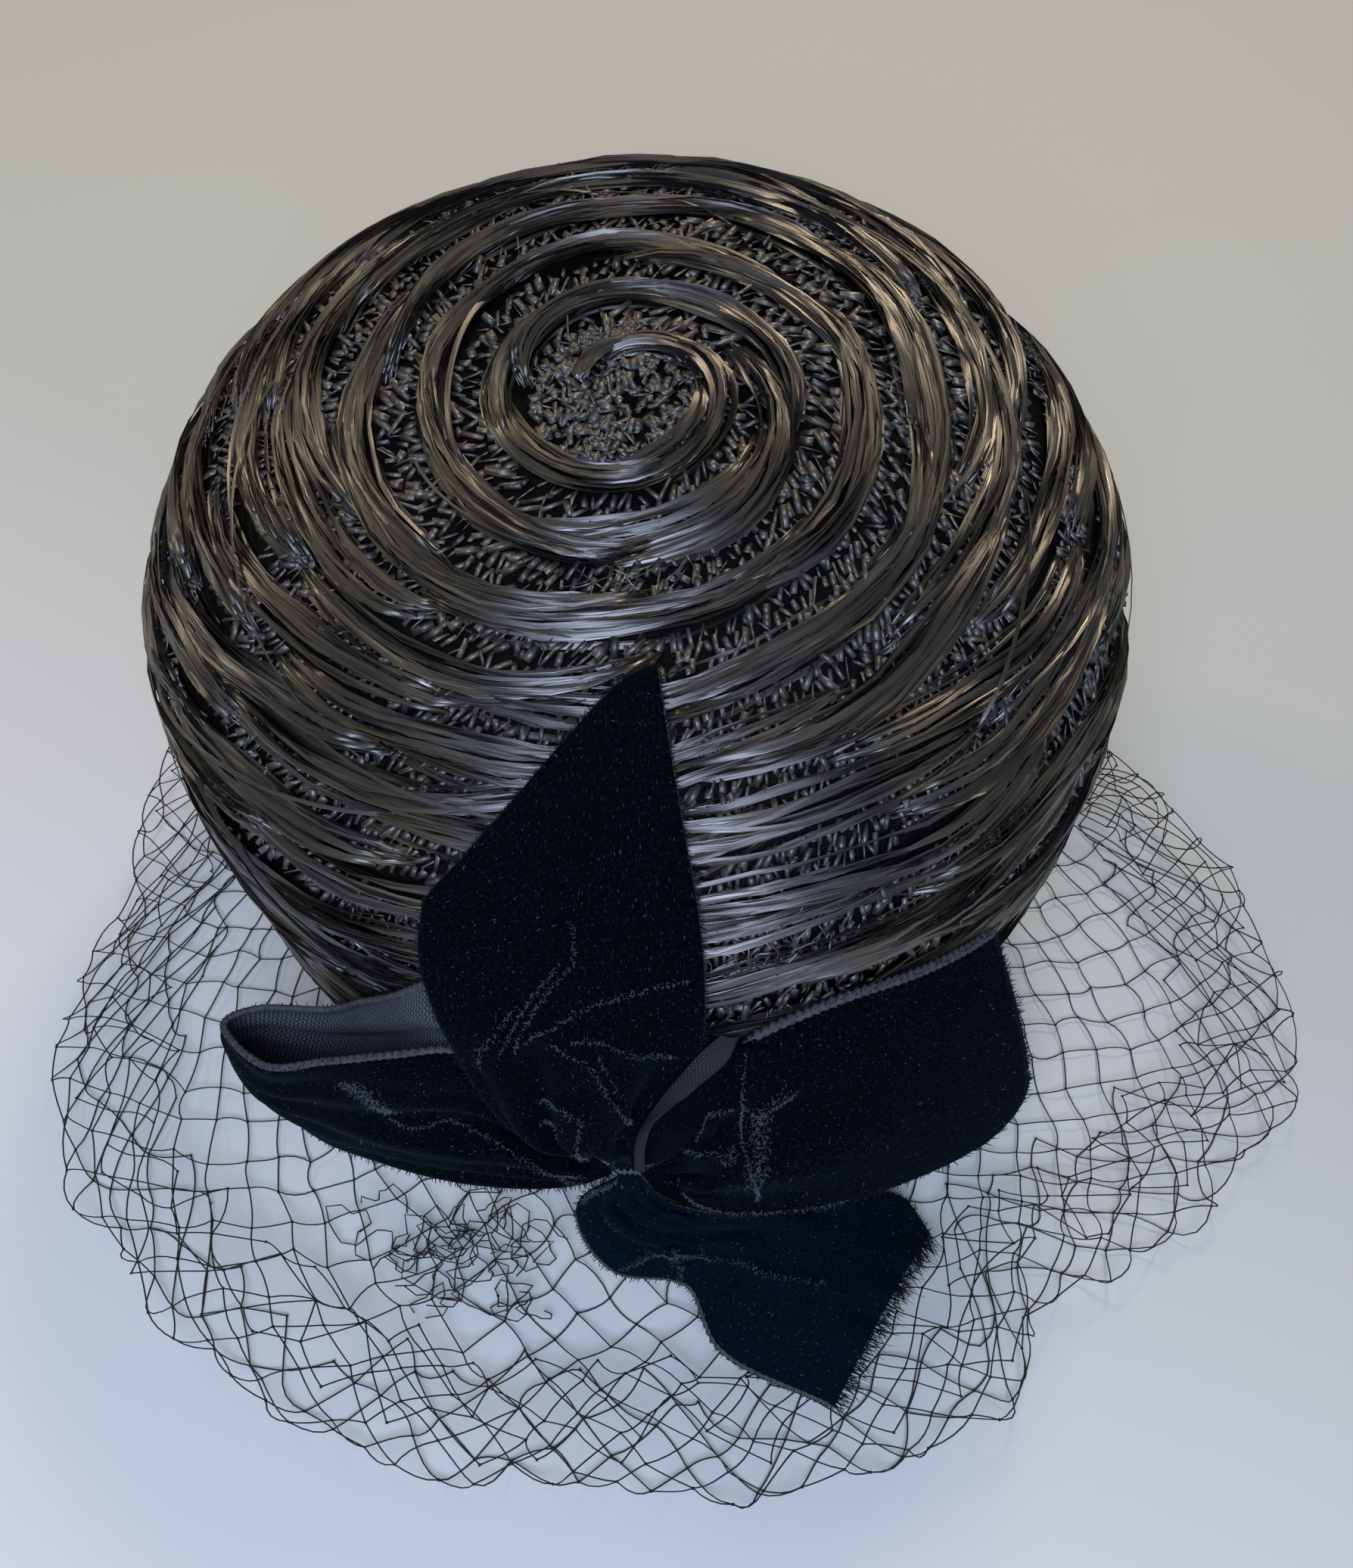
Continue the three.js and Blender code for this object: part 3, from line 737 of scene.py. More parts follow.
def backing_material(name, rgb):
    """Back of the ribbon, woven of bare threads: dull grey ribs across it, with a gap at each crossing."""
    material = new_material(name)
    place = cloth_place(material)
    # Threads drawn coarser than they are
    step = 0.9 * MM
    turned = node(material, "Mapping", {"Vector": place, "Rotation": (0, 0, np.pi / 4)}).outputs[0]
    crossings = {"Vector": turned, "Scale": 1 / step, "Randomness": 0.12}
    gaps = node(material, "TexVoronoi", crossings).outputs["Distance"]
    # The node's wave turns through 20 radians in each unit
    even = {"Vector": place, "Scale": TAU / (20 * step), "Distortion": 0.4}
    ribs = node(material, "TexWave", even, bands_direction="Y").outputs["Fac"]
    woven = times(material, ranged(material, gaps, 0.12, 0.4), ranged(material, ribs, 0.0, 1.0, 0.3))
    return surfaced(material, {
        "Base Color": mixed(material, woven, BLACK, opaque(rgb)), "Roughness": 0.75,
        "Specular IOR Level": 0.25, "Normal": bumped(material, woven, 0.6, 0.2 * MM),
    })


def thread_material(name, rgb, roughness):
    """Thread spun from short fibres, which scatter the light and take the dye unevenly: it looks dull."""
    material = new_material(name)
    spun = noise(material, own_place(material), 1.1 * MM, 2.0)
    deep = tuple(0.45 * value for value in rgb)
    dye = mixed(material, ranged(material, spun, 0.3, 0.7), opaque(deep), opaque(rgb))
    return surfaced(material, {"Base Color": dye, "Roughness": roughness, "Specular IOR Level": 0.3})


def paper_material(stage):
    """Matt paper from a roll, drawn darker towards the back and the right as painted shade."""
    material = new_material("paper_backdrop")
    behind = {0: own_place(material), 1: (0.5, 0.86, 0)}
    away = node(material, "VectorMath", behind, operation="DOT_PRODUCT").outputs["Value"]
    shade = ranged(material, away, -0.14, 0.06)
    tone = mixed(material, shade, opaque(stage.floor), opaque(stage.floor_shaded_behind))
    return surfaced(material, {"Base Color": tone, "Roughness": 0.8})


# Ribbon


Section = namedtuple("Section", "left right belly gather")
Crease = namedtuple("Crease", "way height width spread")

# Sections in millimetres and degrees: the ribbon's two edges, the bow of its middle, the depth of its
# pleats
UPRIGHT = [
    Section((0.1, 162.5, 15.2), (2.5, 162.5, 15.2), 0, 0),
    Section((-1.8, 150, 14), (2, 152, 14), 0, 1),
    Section((-8.6, 137, 15), (2.4, 142, 12.5), 2, 1.6),
    Section((-14.4, 118, 9), (8, 118, 6.5), 2, 0.8),
    Section((-19, 103, 5.5), (9.5, 97, 5), 1.5, 0),
    Section((-19.6, 98, 4.5), (9, 75, 4.5), 1, 0),
    Section((-20, 95, 4), (8.3, 51, 4), 0.5, 0),
]
LEFT_LOOP = [
    Section((-0.4, 162.8, 15.2), (-0.4, 167, 15.6), 0, 0),
    Section((-6.5, 150, 10.5), (-5, 172, 18), 0, 1),
    Section((-15, 125, 7.5), (-14, 174.5, 21.2), 3, 1.5),
    Section((-20, 125, 12), (-24.2, 178, 24), 3, 0.8),
    Section((-26.5, 132, 17.5), (-32, 186, 26), 2, 0),
    Section((-32, 136.5, 24), (-38, 188, 26), 2, 0),
    Section((-38, 140, 23), (-45, 188, 25), 0, 0),
    Section((-37, 142, 16), (-42.3, 188, 22.5), 0, 0),
    Section((-31, 141, 8), (-34.5, 188, 18), 0, 0),
    Section((-25.5, 129, 4.2), (-24, 179, 14), 0, 0),
    Section((-16, 109, 3.8), (-13, 161, 9), 0, 0),
    Section((-2, 155, 3.8), (-1.5, 168, 5), 0, 0),
]
RIGHT_TAIL = [
    Section((3, 162.8, 15.2), (3, 167, 15.6), 0, 0),
    Section((7, 153, 13), (6, 172, 17), 0, 1),
    Section((12.5, 119, 5), (8.5, 169, 22.5), 3, 1.5),
    Section((21.5, 115, 4), (16, 166, 26), 3, 0.8),
    Section((30.5, 118, 4), (27, 168.5, 27.5), 2, 0),
    Section((41.5, 126, 4), (41.5, 175, 30), 1, 0),
]
# The front end in plain x, y and height, because it lies over the net
FRONT_TAIL = [
    Section((-13.2, -90.8, 41.2), (-9.3, -90.8, 41.2), 0, 0),
    Section((-20.5, -93.5, 34.5), (-4, -93, 35.5), 0, 0.5),
    Section((-19.7, -97, 27.6), (9, -92, 29), 1, 1),
    Section((-13, -100, 18), (27, -82, 21), 3, 1),
    Section((1, -100, 13), (38, -78, 13), 6, 0),
    Section((8, -112, 10.5), (46, -77, 8), 7, 0),
    Section((30.5, -122, 9.5), (51.5, -84, 6), 7, 0),
]
# Back of the ribbon where its edge is turned over beside the middle of the bow
TURNED_EDGE = [
    Section((1.9, 157, 16.2), (2.9, 157, 16.6), 0, 0),
    Section((2.3, 140.2, 14), (3.1, 139, 15), 0.3, 0),
    Section((3.5, 131.5, 12), (4.4, 127, 13.4), 0.4, 0),
    Section((5.8, 120, 10), (7.8, 118, 12), 0.6, 0),
    Section((8.3, 114.6, 8), (10.6, 115, 9.8), 0.6, 0),
    Section((10.4, 112.4, 6.6), (12, 113.2, 6.8), 0.3, 0),
]
# Woven edges at the first and the last edge of each ribbon: thickness as a share of the selvedge, and
# the millimetres from the middle of the bow at which it comes out from under the pile
EDGES = {
    "bow_upright": ((0.45, 10), (0.45, 10)),
    "bow_left_loop": ((1, 14), (0.45, 10)),
    "bow_right_tail": ((0.45, 10), (1.4, 40)),
    "bow_front_tail": ((0.8, 6), (0.45, 6)),
}

# Share of the right end's width that is rounded off at its lower corner, and share of its length that
# the corner is drawn back by
CORNER_WIDTH, CORNER_DEPTH = 0.25, 0.13
# Millimetres by which the upright end's cut reaches further up the crown at its middle
CUT_BOW = 11

# Creases as ways along and across the ribbon, in shares. Height, half width and the spread of the pale
# hairs on the crest, a painted highlight, are in millimetres. Some low or flat creases stand mainly for
# painted glints and streaks.
CREASES = {
    "bow_upright": [
        Crease([(0.53, 0.72), (0.58, 0.62), (0.62, 0.55), (0.66, 0.45), (0.72, 0.45)], 0.7, 1.0, 0.2),
        Crease([(0.53, 0.76), (0.58, 0.66), (0.62, 0.58), (0.66, 0.49)], 0.5, 0.9, 0.2),
        Crease([(0.49, 0.88), (0.53, 0.83), (0.57, 0.73), (0.6, 0.66)], 0.6, 1.2, 0.35),
        Crease([(0.55, 0.66), (0.6, 0.44), (0.62, 0.28), (0.63, 0.06)], 1.3, 1.3, 0.22),
        Crease([(0.56, 0.48), (0.56, 0.36), (0.53, 0.23), (0.51, 0.08)], 1.0, 1.3, 0.25),
        Crease([(0.38, 0.19), (0.47, 0.34), (0.52, 0.42), (0.56, 0.55)], 1.5, 1.5, 0.25),
        Crease([(0.25, 0.5), (0.41, 0.45), (0.44, 0.52), (0.43, 0.59), (0.42, 0.69)], 1.1, 1.2, 0.25),
        Crease([(0.24, 0.56), (0.35, 0.58), (0.38, 0.73)], 1.0, 1.2, 0.3),
        Crease([(0.48, 0.31), (0.51, 0.36), (0.54, 0.39)], 0.6, 1.0, 0.3),
    ],
    "bow_left_loop": [
        Crease([(0.05, 0.56), (0.1, 0.58), (0.14, 0.5), (0.17, 0.44), (0.19, 0.38), (0.22, 0.45),
                (0.24, 0.45), (0.26, 0.41)], 1.8, 1.7, 0.25),
        Crease([(0.06, 0.8), (0.14, 0.62)], 0.9, 1.2, 0.4),
        Crease([(0.26, 0.35), (0.3, 0.2), (0.33, 0.16)], 0.4, 2.0, 1.6),
    ],
    "bow_right_tail": [
        Crease([(0.41, 0.98), (0.4, 0.84), (0.43, 0.56), (0.52, 0.12)], 1.3, 1.2, 0.2),
        Crease([(0.51, 0.77), (0.46, 0.69), (0.47, 0.55), (0.47, 0.45), (0.47, 0.36)], 1.5, 1.6, 1.5),
        Crease([(0.39, 0.51), (0.42, 0.48)], 0.9, 1.4, 1.5),
        Crease([(0.13, 0.25), (0.22, 0.06)], 0.6, 1.0, 0.6),
        Crease([(0.3, 0.02), (0.5, 0.02), (0.75, 0.02)], 0, 1.0, 0.3),
        Crease([(0.24, 0.95), (0.39, 0.8)], 0.8, 1.2, 0.3),
        Crease([(0.2, 0.62), (0.33, 0.53), (0.38, 0.52)], 0.8, 1.2, 0.4),
    ],
    "bow_front_tail": [
        Crease([(0.51, 0.23), (0.64, 0.17), (0.77, 0.28), (0.89, 0.42)], 1.7, 1.5, 0.3),
        Crease([(0.51, 0.23), (0.51, 0.14), (0.49, 0.03)], 0.8, 1.3, 0.6),
        Crease([(0.51, 0.23), (0.58, 0.12), (0.64, 0.02)], 0.9, 1.3, 0.4),
        Crease([(0.03, 0.12), (0.1, 0.05), (0.16, 0.04)], 0.3, 1.0, 0.5),
    ],
}


def smooth_through(points, share):
    """Points of a curve through a list of points, at shares of the way: centripetal Catmull-Rom spans."""
    points = np.asarray(points, float)
    ends = 2 * points[[0, -1]] - points[[1, -2]]
    points = np.concatenate([ends[:1], points, ends[1:]])
    spans = len(points) - 3
    place = np.clip(share, 0, 1) * spans
    span = np.minimum(place.astype(int), spans - 1)
    t = (place - span)[:, None]
    p0, p1, p2, p3 = (points[span + i] for i in range(4))
    gaps = (np.linalg.norm(b - a, axis=1, keepdims=True) for a, b in ((p0, p1), (p1, p2), (p2, p3)))
    d0, d1, d2 = (np.maximum(np.sqrt(gap), 1e-4) for gap in gaps)
    m1 = ((p1 - p0) / d0 - (p2 - p0) / (d0 + d1) + (p2 - p1) / d1) * d1
    m2 = ((p2 - p1) / d1 - (p3 - p1) / (d1 + d2) + (p3 - p2) / d2) * d1
    c2, c3 = -3 * p1 + 3 * p2 - 2 * m1 - m2, 2 * p1 - 2 * p2 + m1 + m2
    return p1 + m1 * t + c2 * t ** 2 + c3 * t ** 3


def ribbon_middle(crown, bow, sections, rows, columns):
    """Middle surface of a ribbon: straight across between its two edge curves, bowed and pleated outwards.

    The cut end of the right one is drawn back by a quarter of a circle at its lower corner, and that of the
    upright one is bowed up the crown.
    """
    across = np.linspace(0, 1, columns)
    corner = np.clip((across - 1 + CORNER_WIDTH) / CORNER_WIDTH, 0, 1) * (sections is RIGHT_TAIL)
    along = np.linspace(0, 1, rows)[:, None] * (1 - CORNER_DEPTH * (1 - np.sqrt(1 - corner ** 2)))

    def laid(points):
        return smooth_through(points, along.ravel()).reshape(rows, columns, 3)

    left, right = laid([s.left for s in sections]), laid([s.right for s in sections])
    belly, gather, _ = np.moveaxis(laid([(s.belly, s.gather, 0) for s in sections]), -1, 0)
    spot = left + (right - left) * across[:, None]
    crest = 1 - (2 * across - 1) ** 2
    spot[..., 1] -= CUT_BOW * crest * along ** 4 * (sections is UPRIGHT)
    spot[..., 2] += belly * crest + gather * np.sin(TAU * bow.pleats * across)
    if sections is FRONT_TAIL:
        return spot * MM
    return on_crown(crown, spot[..., 0], spot[..., 1] * MM, spot[..., 2] * MM)


def folded(bow, middle, creases):
    """Middle surface with its pleats and creases raised together along its normals.

    The pleats are a sine across the ribbon, as deep as its narrowed width leaves cloth for. A crease is a
    rounded ridge, by the distance from its way, that runs out along the way.
    """
    rows, columns = middle.shape[:2]
    across = np.linspace(0, 1, columns)
    wide = sheet_widths(middle)
    spare = np.sqrt(np.maximum(bow.width ** 2 - wide ** 2, 0)) / (4 * bow.folds)
    depth = bow.fold_share * np.minimum(spare, 0.5 * wide / bow.folds)
    wave = np.sin(TAU * bow.folds * across + 0.7) * np.sin(np.pi * across) ** 0.5
    height = depth[:, None] * wave
    run = sheet_steps(middle).sum()
    lengths = np.linspace(0, run, rows), np.linspace(0, bow.width, columns)
    spot = np.stack(np.meshgrid(*lengths, indexing="ij"), -1)
    for crease in creases:
        way = np.array(crease.way) * np.array([run, bow.width])
        near = np.full((rows, columns), 1.0)
        passed = np.zeros((rows, columns))
        for step, (begin, end) in enumerate(zip(way[:-1], way[1:])):
            span = end - begin
            share = np.clip(((spot - begin) @ span) / (span @ span), 0, 1)
            apart = np.linalg.norm(spot - begin - share[..., None] * span, axis=-1)
            passed = np.where(apart < near, (step + share) / (len(way) - 1), passed)
            near = np.minimum(near, apart)
        height += crease.height * MM * (1 - 0.6 * passed) * np.exp(-(near / (crease.width * MM)) ** 2)
    return middle + height[..., None] * sheet_normals(middle)


def sheet_widths(grid):
    """Lengths across a grid of points at each of its rows."""
    return np.linalg.norm(np.diff(grid, axis=1), axis=-1).sum(axis=1)


def sheet_steps(grid):
    """Mean lengths from each row of a grid of points to the next."""
    return np.linalg.norm(np.diff(grid, axis=0), axis=-1).mean(axis=1)


def sheet_normals(grid):
    """Unit normals of a grid of points, from its differences along and across."""
    return unit(np.cross(np.gradient(grid, axis=0), np.gradient(grid, axis=1)))


def ribbon_sheet(crown, bow, name, sections, turned, materials):
    """Ribbon as a closed sheet: its middle surface moved half the thickness both ways along its normals.

    It thins out where the gathers make it narrow.
    """
    rows, columns, full_from = 16 * (len(sections) - 1) + 1, 65, 25 * MM
    middle = ribbon_middle(crown, bow, sections, rows, columns)
    if turned:
        middle = middle[:, ::-1]
    middle = folded(bow, middle, CREASES[name])
    normal = sheet_normals(middle)
    half = bow.thickness / 2 * np.clip(sheet_widths(middle) / full_from, 0.25, 1)[:, None, None]
    points, faces, sizes = slab(middle + normal * half, middle - normal * half)
    along = np.append(0, np.cumsum(sheet_steps(middle)))
    cloth = both_faces(np.linspace(0, bow.width, columns)[None], along[:, None])
    # Where the pleats are sewn through, the pile is on both sides
    backed = np.repeat(np.arange(rows - 1) > 0.3 * rows, columns - 1)
    sides = np.concatenate([np.zeros(sizes[0]), backed, np.zeros(sum(sizes[2:]))]).astype(int)
    label = name.replace("bow", "ribbon")
    piece = new_piece(label, points, faces, materials, "velvet", cloth=cloth, sides=sides)
    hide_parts(name)
    return piece, middle, normal, along[-1]


def edge_cords(bow, edges):
    """Woven edges of the ribbons: a thin cord along each edge, swelling at every stitch."""
    coming_out, stout, stand = 8 * MM, 0.9 * MM, 0.15 * MM
    for edge, normal, thick, begin in edges:
        run = run_along(edge)
        place = np.arange(0, run[-1], bow.stitch / 4)
        path, up = at_run(edge, run, place), at_run(normal, run, place)
        bare = np.clip((place - begin) / coming_out, 0.2, 1)
        swell = bare * thick / 2 * (0.8 + 0.2 * np.cos(TAU * place / bow.stitch))
        high = bare * np.where(thick > stout, 0.5 * bow.thickness + stand, 0.3 * thick)
        yield swept(path[None], up[None], swell[None], high[None], sides=6)


def hair_roots(rng, line, spacing):
    """Places strewn along a line of points, as shares between its neighbouring points."""
    run = run_along(line)
    place = np.arange(0, run[-1], spacing)
    place = place + rng.uniform(-0.5, 0.5, len(place)) * spacing
    return np.interp(place, run, np.arange(len(line)))


def at_run(values, run, place):
    """Values of a row of vectors at places along the run of its members."""
    return np.stack([np.interp(place, run, values[:, axis]) for axis in range(3)], -1)


def at_share(values, share):
    """Values of a row of vectors at places between its members."""
    return at_run(values, np.arange(len(values)), share)


def at_spot(grid, along, across):
    """Values of a grid at shares along and across it, between its four nearest members."""
    rows, columns = grid.shape[:2]
    row = np.clip(along, 0, 1) * (rows - 1)
    column = np.clip(across, 0, 1) * (columns - 1)
    above = np.minimum(row.astype(int), rows - 2)
    before = np.minimum(column.astype(int), columns - 2)
    down, aside = (row - above)[:, None], (column - before)[:, None]
    near = grid[above, before] * (1 - aside) + grid[above, before + 1] * aside
    far = grid[above + 1, before] * (1 - aside) + grid[above + 1, before + 1] * aside
    return near * (1 - down) + far * down


def hairs(roots, ahead, size, thick, rng):
    """Short tapering hairs from roots along their own directions, bent a little on the way."""
    share = np.linspace(0, 1, 3)[None, :, None]
    lean = unit(unit(ahead) + rng.normal(0, 0.25, ahead.shape))
    bend = rng.normal(0, 0.16, ahead.shape)
    path = roots[:, None] + size[:, None, None] * share * (lean[:, None] + bend[:, None] * share)
    path[..., 2] = np.maximum(path[..., 2], thick)
    taper = thick * np.array([1, 0.85, 0.3])[None]
    return swept(path, HAIR_UP, taper, taper)


def joined(parts):
    """One set of points and faces from several."""
    points, faces, start = [], [], 0
    for more, walls, *_ in parts:
        points.append(more)
        faces.append(walls + start)
        start += len(more)
    return np.concatenate(points), np.concatenate(faces)


# Net


def net_place(crown, veil, angle, run):
    """Places on the net at an angle and a length run from the rim out to the edge, round it and back below.

    The length runs over the floor, up a smooth rise, round half a circle and back inwards.
    """
    inner = crown_section(crown, angle, np.zeros_like(angle), crown.rim_radius - veil.tuck)[..., :2]
    outer = veil_reach(angle)[..., None] * np.stack([np.cos(angle), np.sin(angle)], -1)
    room = np.linalg.norm(outer - inner, axis=-1)
    roll = veil.roll * (1 + 0.3 * np.sin(5 * angle + 0.6) + 0.2 * np.sin(11 * angle))
    rise_run = np.minimum(veil.roll_run, 0.6 * room)
    flat = room - rise_run - roll / 2
    slope = np.hypot(rise_run, roll)
    climb = np.clip((run - flat) / slope, 0, 1)
    bend = np.clip((run - flat - slope) / (roll / 2), 0, np.pi)
    under = np.maximum(run - flat - slope - np.pi * roll / 2, 0)
    away = np.minimum(run, flat) + rise_run * climb + roll / 2 * np.sin(bend) - under
    height = veil.lift + roll * climb ** 2 * (3 - 2 * climb) - roll / 2 * (1 - np.cos(bend))
    plan = inner + (outer - inner) / room[..., None] * away[..., None]
    return np.concatenate([plan, height[..., None]], -1), room


def net_lattice(crown, veil, layer):
    """Angles and runs of the knots in staggered columns, their uneven moves, and which of them the net has.

    The second layer is a crumpled band of the same net that is caught up along the outer edge.
    """
    rng = np.random.default_rng(5 + layer)
    rows = np.arange(veil.rows + 1)
    angle = TAU * (np.arange(veil.meshes)[:, None] + 0.37 * layer + 0.5 * (rows % 2)[None]) / veil.meshes
    run = rows[None] * veil.row_step * np.ones_like(angle)
    place, room = net_place(crown, veil, angle, run)
    away = place[..., :2] - np.array([veil.tangle_x, veil.tangle_y])
    tangle = np.exp(-(away ** 2).sum(-1) / veil.tangle ** 2)
    shake = veil.shake * (1 + 1.2 * layer) + 3.2 * MM * tangle
    move = rng.normal(0, 1, place.shape) * shake[..., None] * np.array([1, 1, 0.5])
    move[..., 2] += 3 * MM * tangle + 1.5 * MM * layer
    kept = run <= np.minimum(veil.depth, room * (1 + veil.fold_share))
    if layer:
        kept = (run > room - veil.band) & (run < room - veil.tuck)
    return angle, run, move * np.minimum(rows / 2, 1)[None, :, None], kept


# Edge of the net as degrees round from +X and millimetres from the origin
VEIL_EDGE = [
    (0, 133), (12, 123.5), (26, 117), (45, 121), (70, 131), (95, 139.5), (130, 139), (166, 138), (176, 135),
    (188, 139), (197, 147.5), (206, 152), (226, 152), (243, 148), (262, 140), (287, 139), (299, 136),
    (305, 126), (311, 125), (323, 132), (336, 140), (345, 143), (353, 140),
]


def veil_reach(angle):
    """Distance of the net's edge from the origin, straight between the edge's places, with low waves."""
    places, reaches = np.array(VEIL_EDGE).T
    reach = np.interp(np.degrees(angle) % 360, places, reaches, period=360)
    return (reach + 1.2 * np.sin(29 * angle) + 0.8 * np.sin(17 * angle + 1)) * MM


def net_threads(crown, veil, angle, run, move, kept):
    """Threads from each knot to its two neighbours in the next row, laid over the net's own surface."""
    rng = np.random.default_rng(6)
    share = np.linspace(0, 1, 5)
    odd = (np.arange(veil.rows) % 2).astype(bool)
    following = np.arange(1, veil.rows + 1)[None]
    parts = []
    for step in (0, 1):
        column = (np.arange(veil.meshes)[:, None] + np.where(odd, step, step - 1)[None]) % veil.meshes
        both = kept[:, :-1] & kept[column, following]
        aim = angle[:, :-1][both][:, None] + TAU * (step - 0.5) / veil.meshes * share
        length_run = run[:, :-1][both][:, None] + veil.row_step * share
        near, far = move[:, :-1][both][:, None], move[column, following][both][:, None]
        path, _ = net_place(crown, veil, aim, length_run)
        path = path + near + (far - near) * share[None, :, None]
        kink = rng.normal(0, 0.45 * MM, (len(path), 1, 3)) * (4 * share * (1 - share))[None, :, None]
        parts.append(path + kink)
    path = np.concatenate(parts)
    path[..., 2] = np.maximum(path[..., 2], veil.thread / 2)
    return swept(path, THREAD_UP, veil.thread / 2, veil.thread / 2)


def net_knots(crown, veil, angle, run, move, kept):
    """Knots as small rounded beads: a short tube swelling at its middle."""
    rng = np.random.default_rng(8)
    middle = (net_place(crown, veil, angle, run)[0] + move)[kept]
    way = unit(rng.normal(0, 1, middle.shape) * np.array([1, 1, 0.4]))
    share = np.linspace(-1, 1, 4)[None, :, None]
    path = middle[:, None] + way[:, None] * share * veil.knot / 2
    path[..., 2] = np.maximum(path[..., 2], veil.knot / 2)
    swell = veil.knot / 2 * np.array([0.35, 0.95, 0.95, 0.35])[None]
    return swept(path, KNOT_UP, swell, swell * 0.8)


def net_loops(veil):
    """Loose loops of thread in the tangle: uneven rings of straight stretches, each tilted its own way."""
    rng = np.random.default_rng(9)
    start, tilt, lobes = rng.uniform(0, TAU, (3, veil.loops, 1))
    turn = start + np.linspace(0, TAU, 12)[None] * rng.uniform(0.5, 1.2, (veil.loops, 1))
    uneven = 1 + 0.3 * np.sin(3 * turn + lobes) + rng.normal(0, 0.12, turn.shape)
    reach = rng.uniform(2.5, 6.5, (veil.loops, 1)) * MM * uneven
    middle = np.clip(rng.normal(0, 0.6, (veil.loops, 2)), -1, 1) * veil.tangle * np.array([1.2, 0.6])
    x = veil.tangle_x + middle[:, :1] + reach * np.cos(turn)
    y = veil.tangle_y + middle[:, 1:] + 0.8 * reach * np.sin(turn)
    height = veil.lift + 0.5 * reach * (1 + np.sin(turn + tilt))
    path = np.stack([x, y, height], -1)
    return swept(path, THREAD_UP, veil.thread / 2, veil.thread / 2)


# Operators


class HAT_OT_ground(bpy.types.Operator):
    """Makes the hollow crown that the straw is laid over"""

    bl_idname = "hat.ground"
    bl_label = "Crown Ground"

    def execute(self, context):
        crown = context.scene.hat_crown
        around, outer_rings, inner_rings, sunk = 96, 56, 28, 0.4 * MM
        turn = np.linspace(-180, 180, around, endpoint=False)[None]
        down = np.linspace(sunk, crown_outline(crown)[0][-1], outer_rings)[:, None]
        outside = on_crown(crown, turn, down, -sunk)
        _, radius, rise = crown_outline(crown, crown.wall)
        pick = np.linspace(len(radius) - 1, 6, inner_rings).astype(int)
        inside = crown_section(crown, np.radians(turn) - np.pi / 2, rise[pick, None], radius[pick, None])
        rings = np.concatenate([outside, inside])
        rings[..., 2] = np.maximum(rings[..., 2], 0)
        numbers = np.arange(rings.shape[0] * rings.shape[1]).reshape(rings.shape[:2])
        beside = np.roll(numbers, -1, axis=1)
        walls = np.stack([numbers[:-1], numbers[1:], beside[1:], beside[:-1]], -1).reshape(-1, 4)
        faces = np.concatenate([walls, ring_cap(numbers[0]), ring_cap(numbers[-1, ::-1])])
        material = ground_material(context.scene.hat_straw)
        piece = new_piece("crown_ground", rings.reshape(-1, 3), faces, [material], "straw")
        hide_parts("crown")
        return {"FINISHED"}


class HAT_OT_hanks(bpy.types.Operator):
    """Lays the hanks of straw along the spiral, with the straws that have come loose"""

    bl_idname = "hat.hanks"
    bl_label = "Straw Hanks"

    def execute(self, context):
        crown, straw = context.scene.hat_crown, context.scene.hat_straw
        material = straw_material("dyed_raffia_straw", straw.black, straw.grey, straw.brown, 0.0)
        rng = np.random.default_rng(3)
        rows, middle = hank_straws(crown, straw)
        zones = np.searchsorted(np.quantile(middle, [1 / 3, 2 / 3]), middle)
        for zone, name in enumerate(("straw_hanks_top", "straw_hanks_side", "straw_hanks_base")):
            picked = [row[zones == zone] for row in rows]
            straw_piece(context, name, picked, straw.straw_height, material, rng)
        straw_piece(context, "straw_strays", stray_straws(crown, straw), straw.straw_height, material, rng)
        straw_piece(context, "straw_splinters", splinters(crown, straw), straw.straw_height, material, rng)
        return {"FINISHED"}


class HAT_OT_knit(bpy.types.Operator):
    """Knits the ground that shows between the hanks"""

    bl_idname = "hat.knit"
    bl_label = "Knitted Ground"

    def execute(self, context):
        crown, straw = context.scene.hat_crown, context.scene.hat_straw
        rng = np.random.default_rng(4)
        rows = knit_stitches(crown, straw)
        lower = rows[0].mean(axis=1) > np.median(rows[0])
        material = straw_material("knitted_raffia_straw", straw.grey, straw.stitch_grey, straw.brown, 0.12)
        for name, picked in (("straw_knit_upper", ~lower), ("straw_knit_lower", lower)):
            straw_piece(context, name, [row[picked] for row in rows], straw.stitch_height, material, rng)
        return {"FINISHED"}


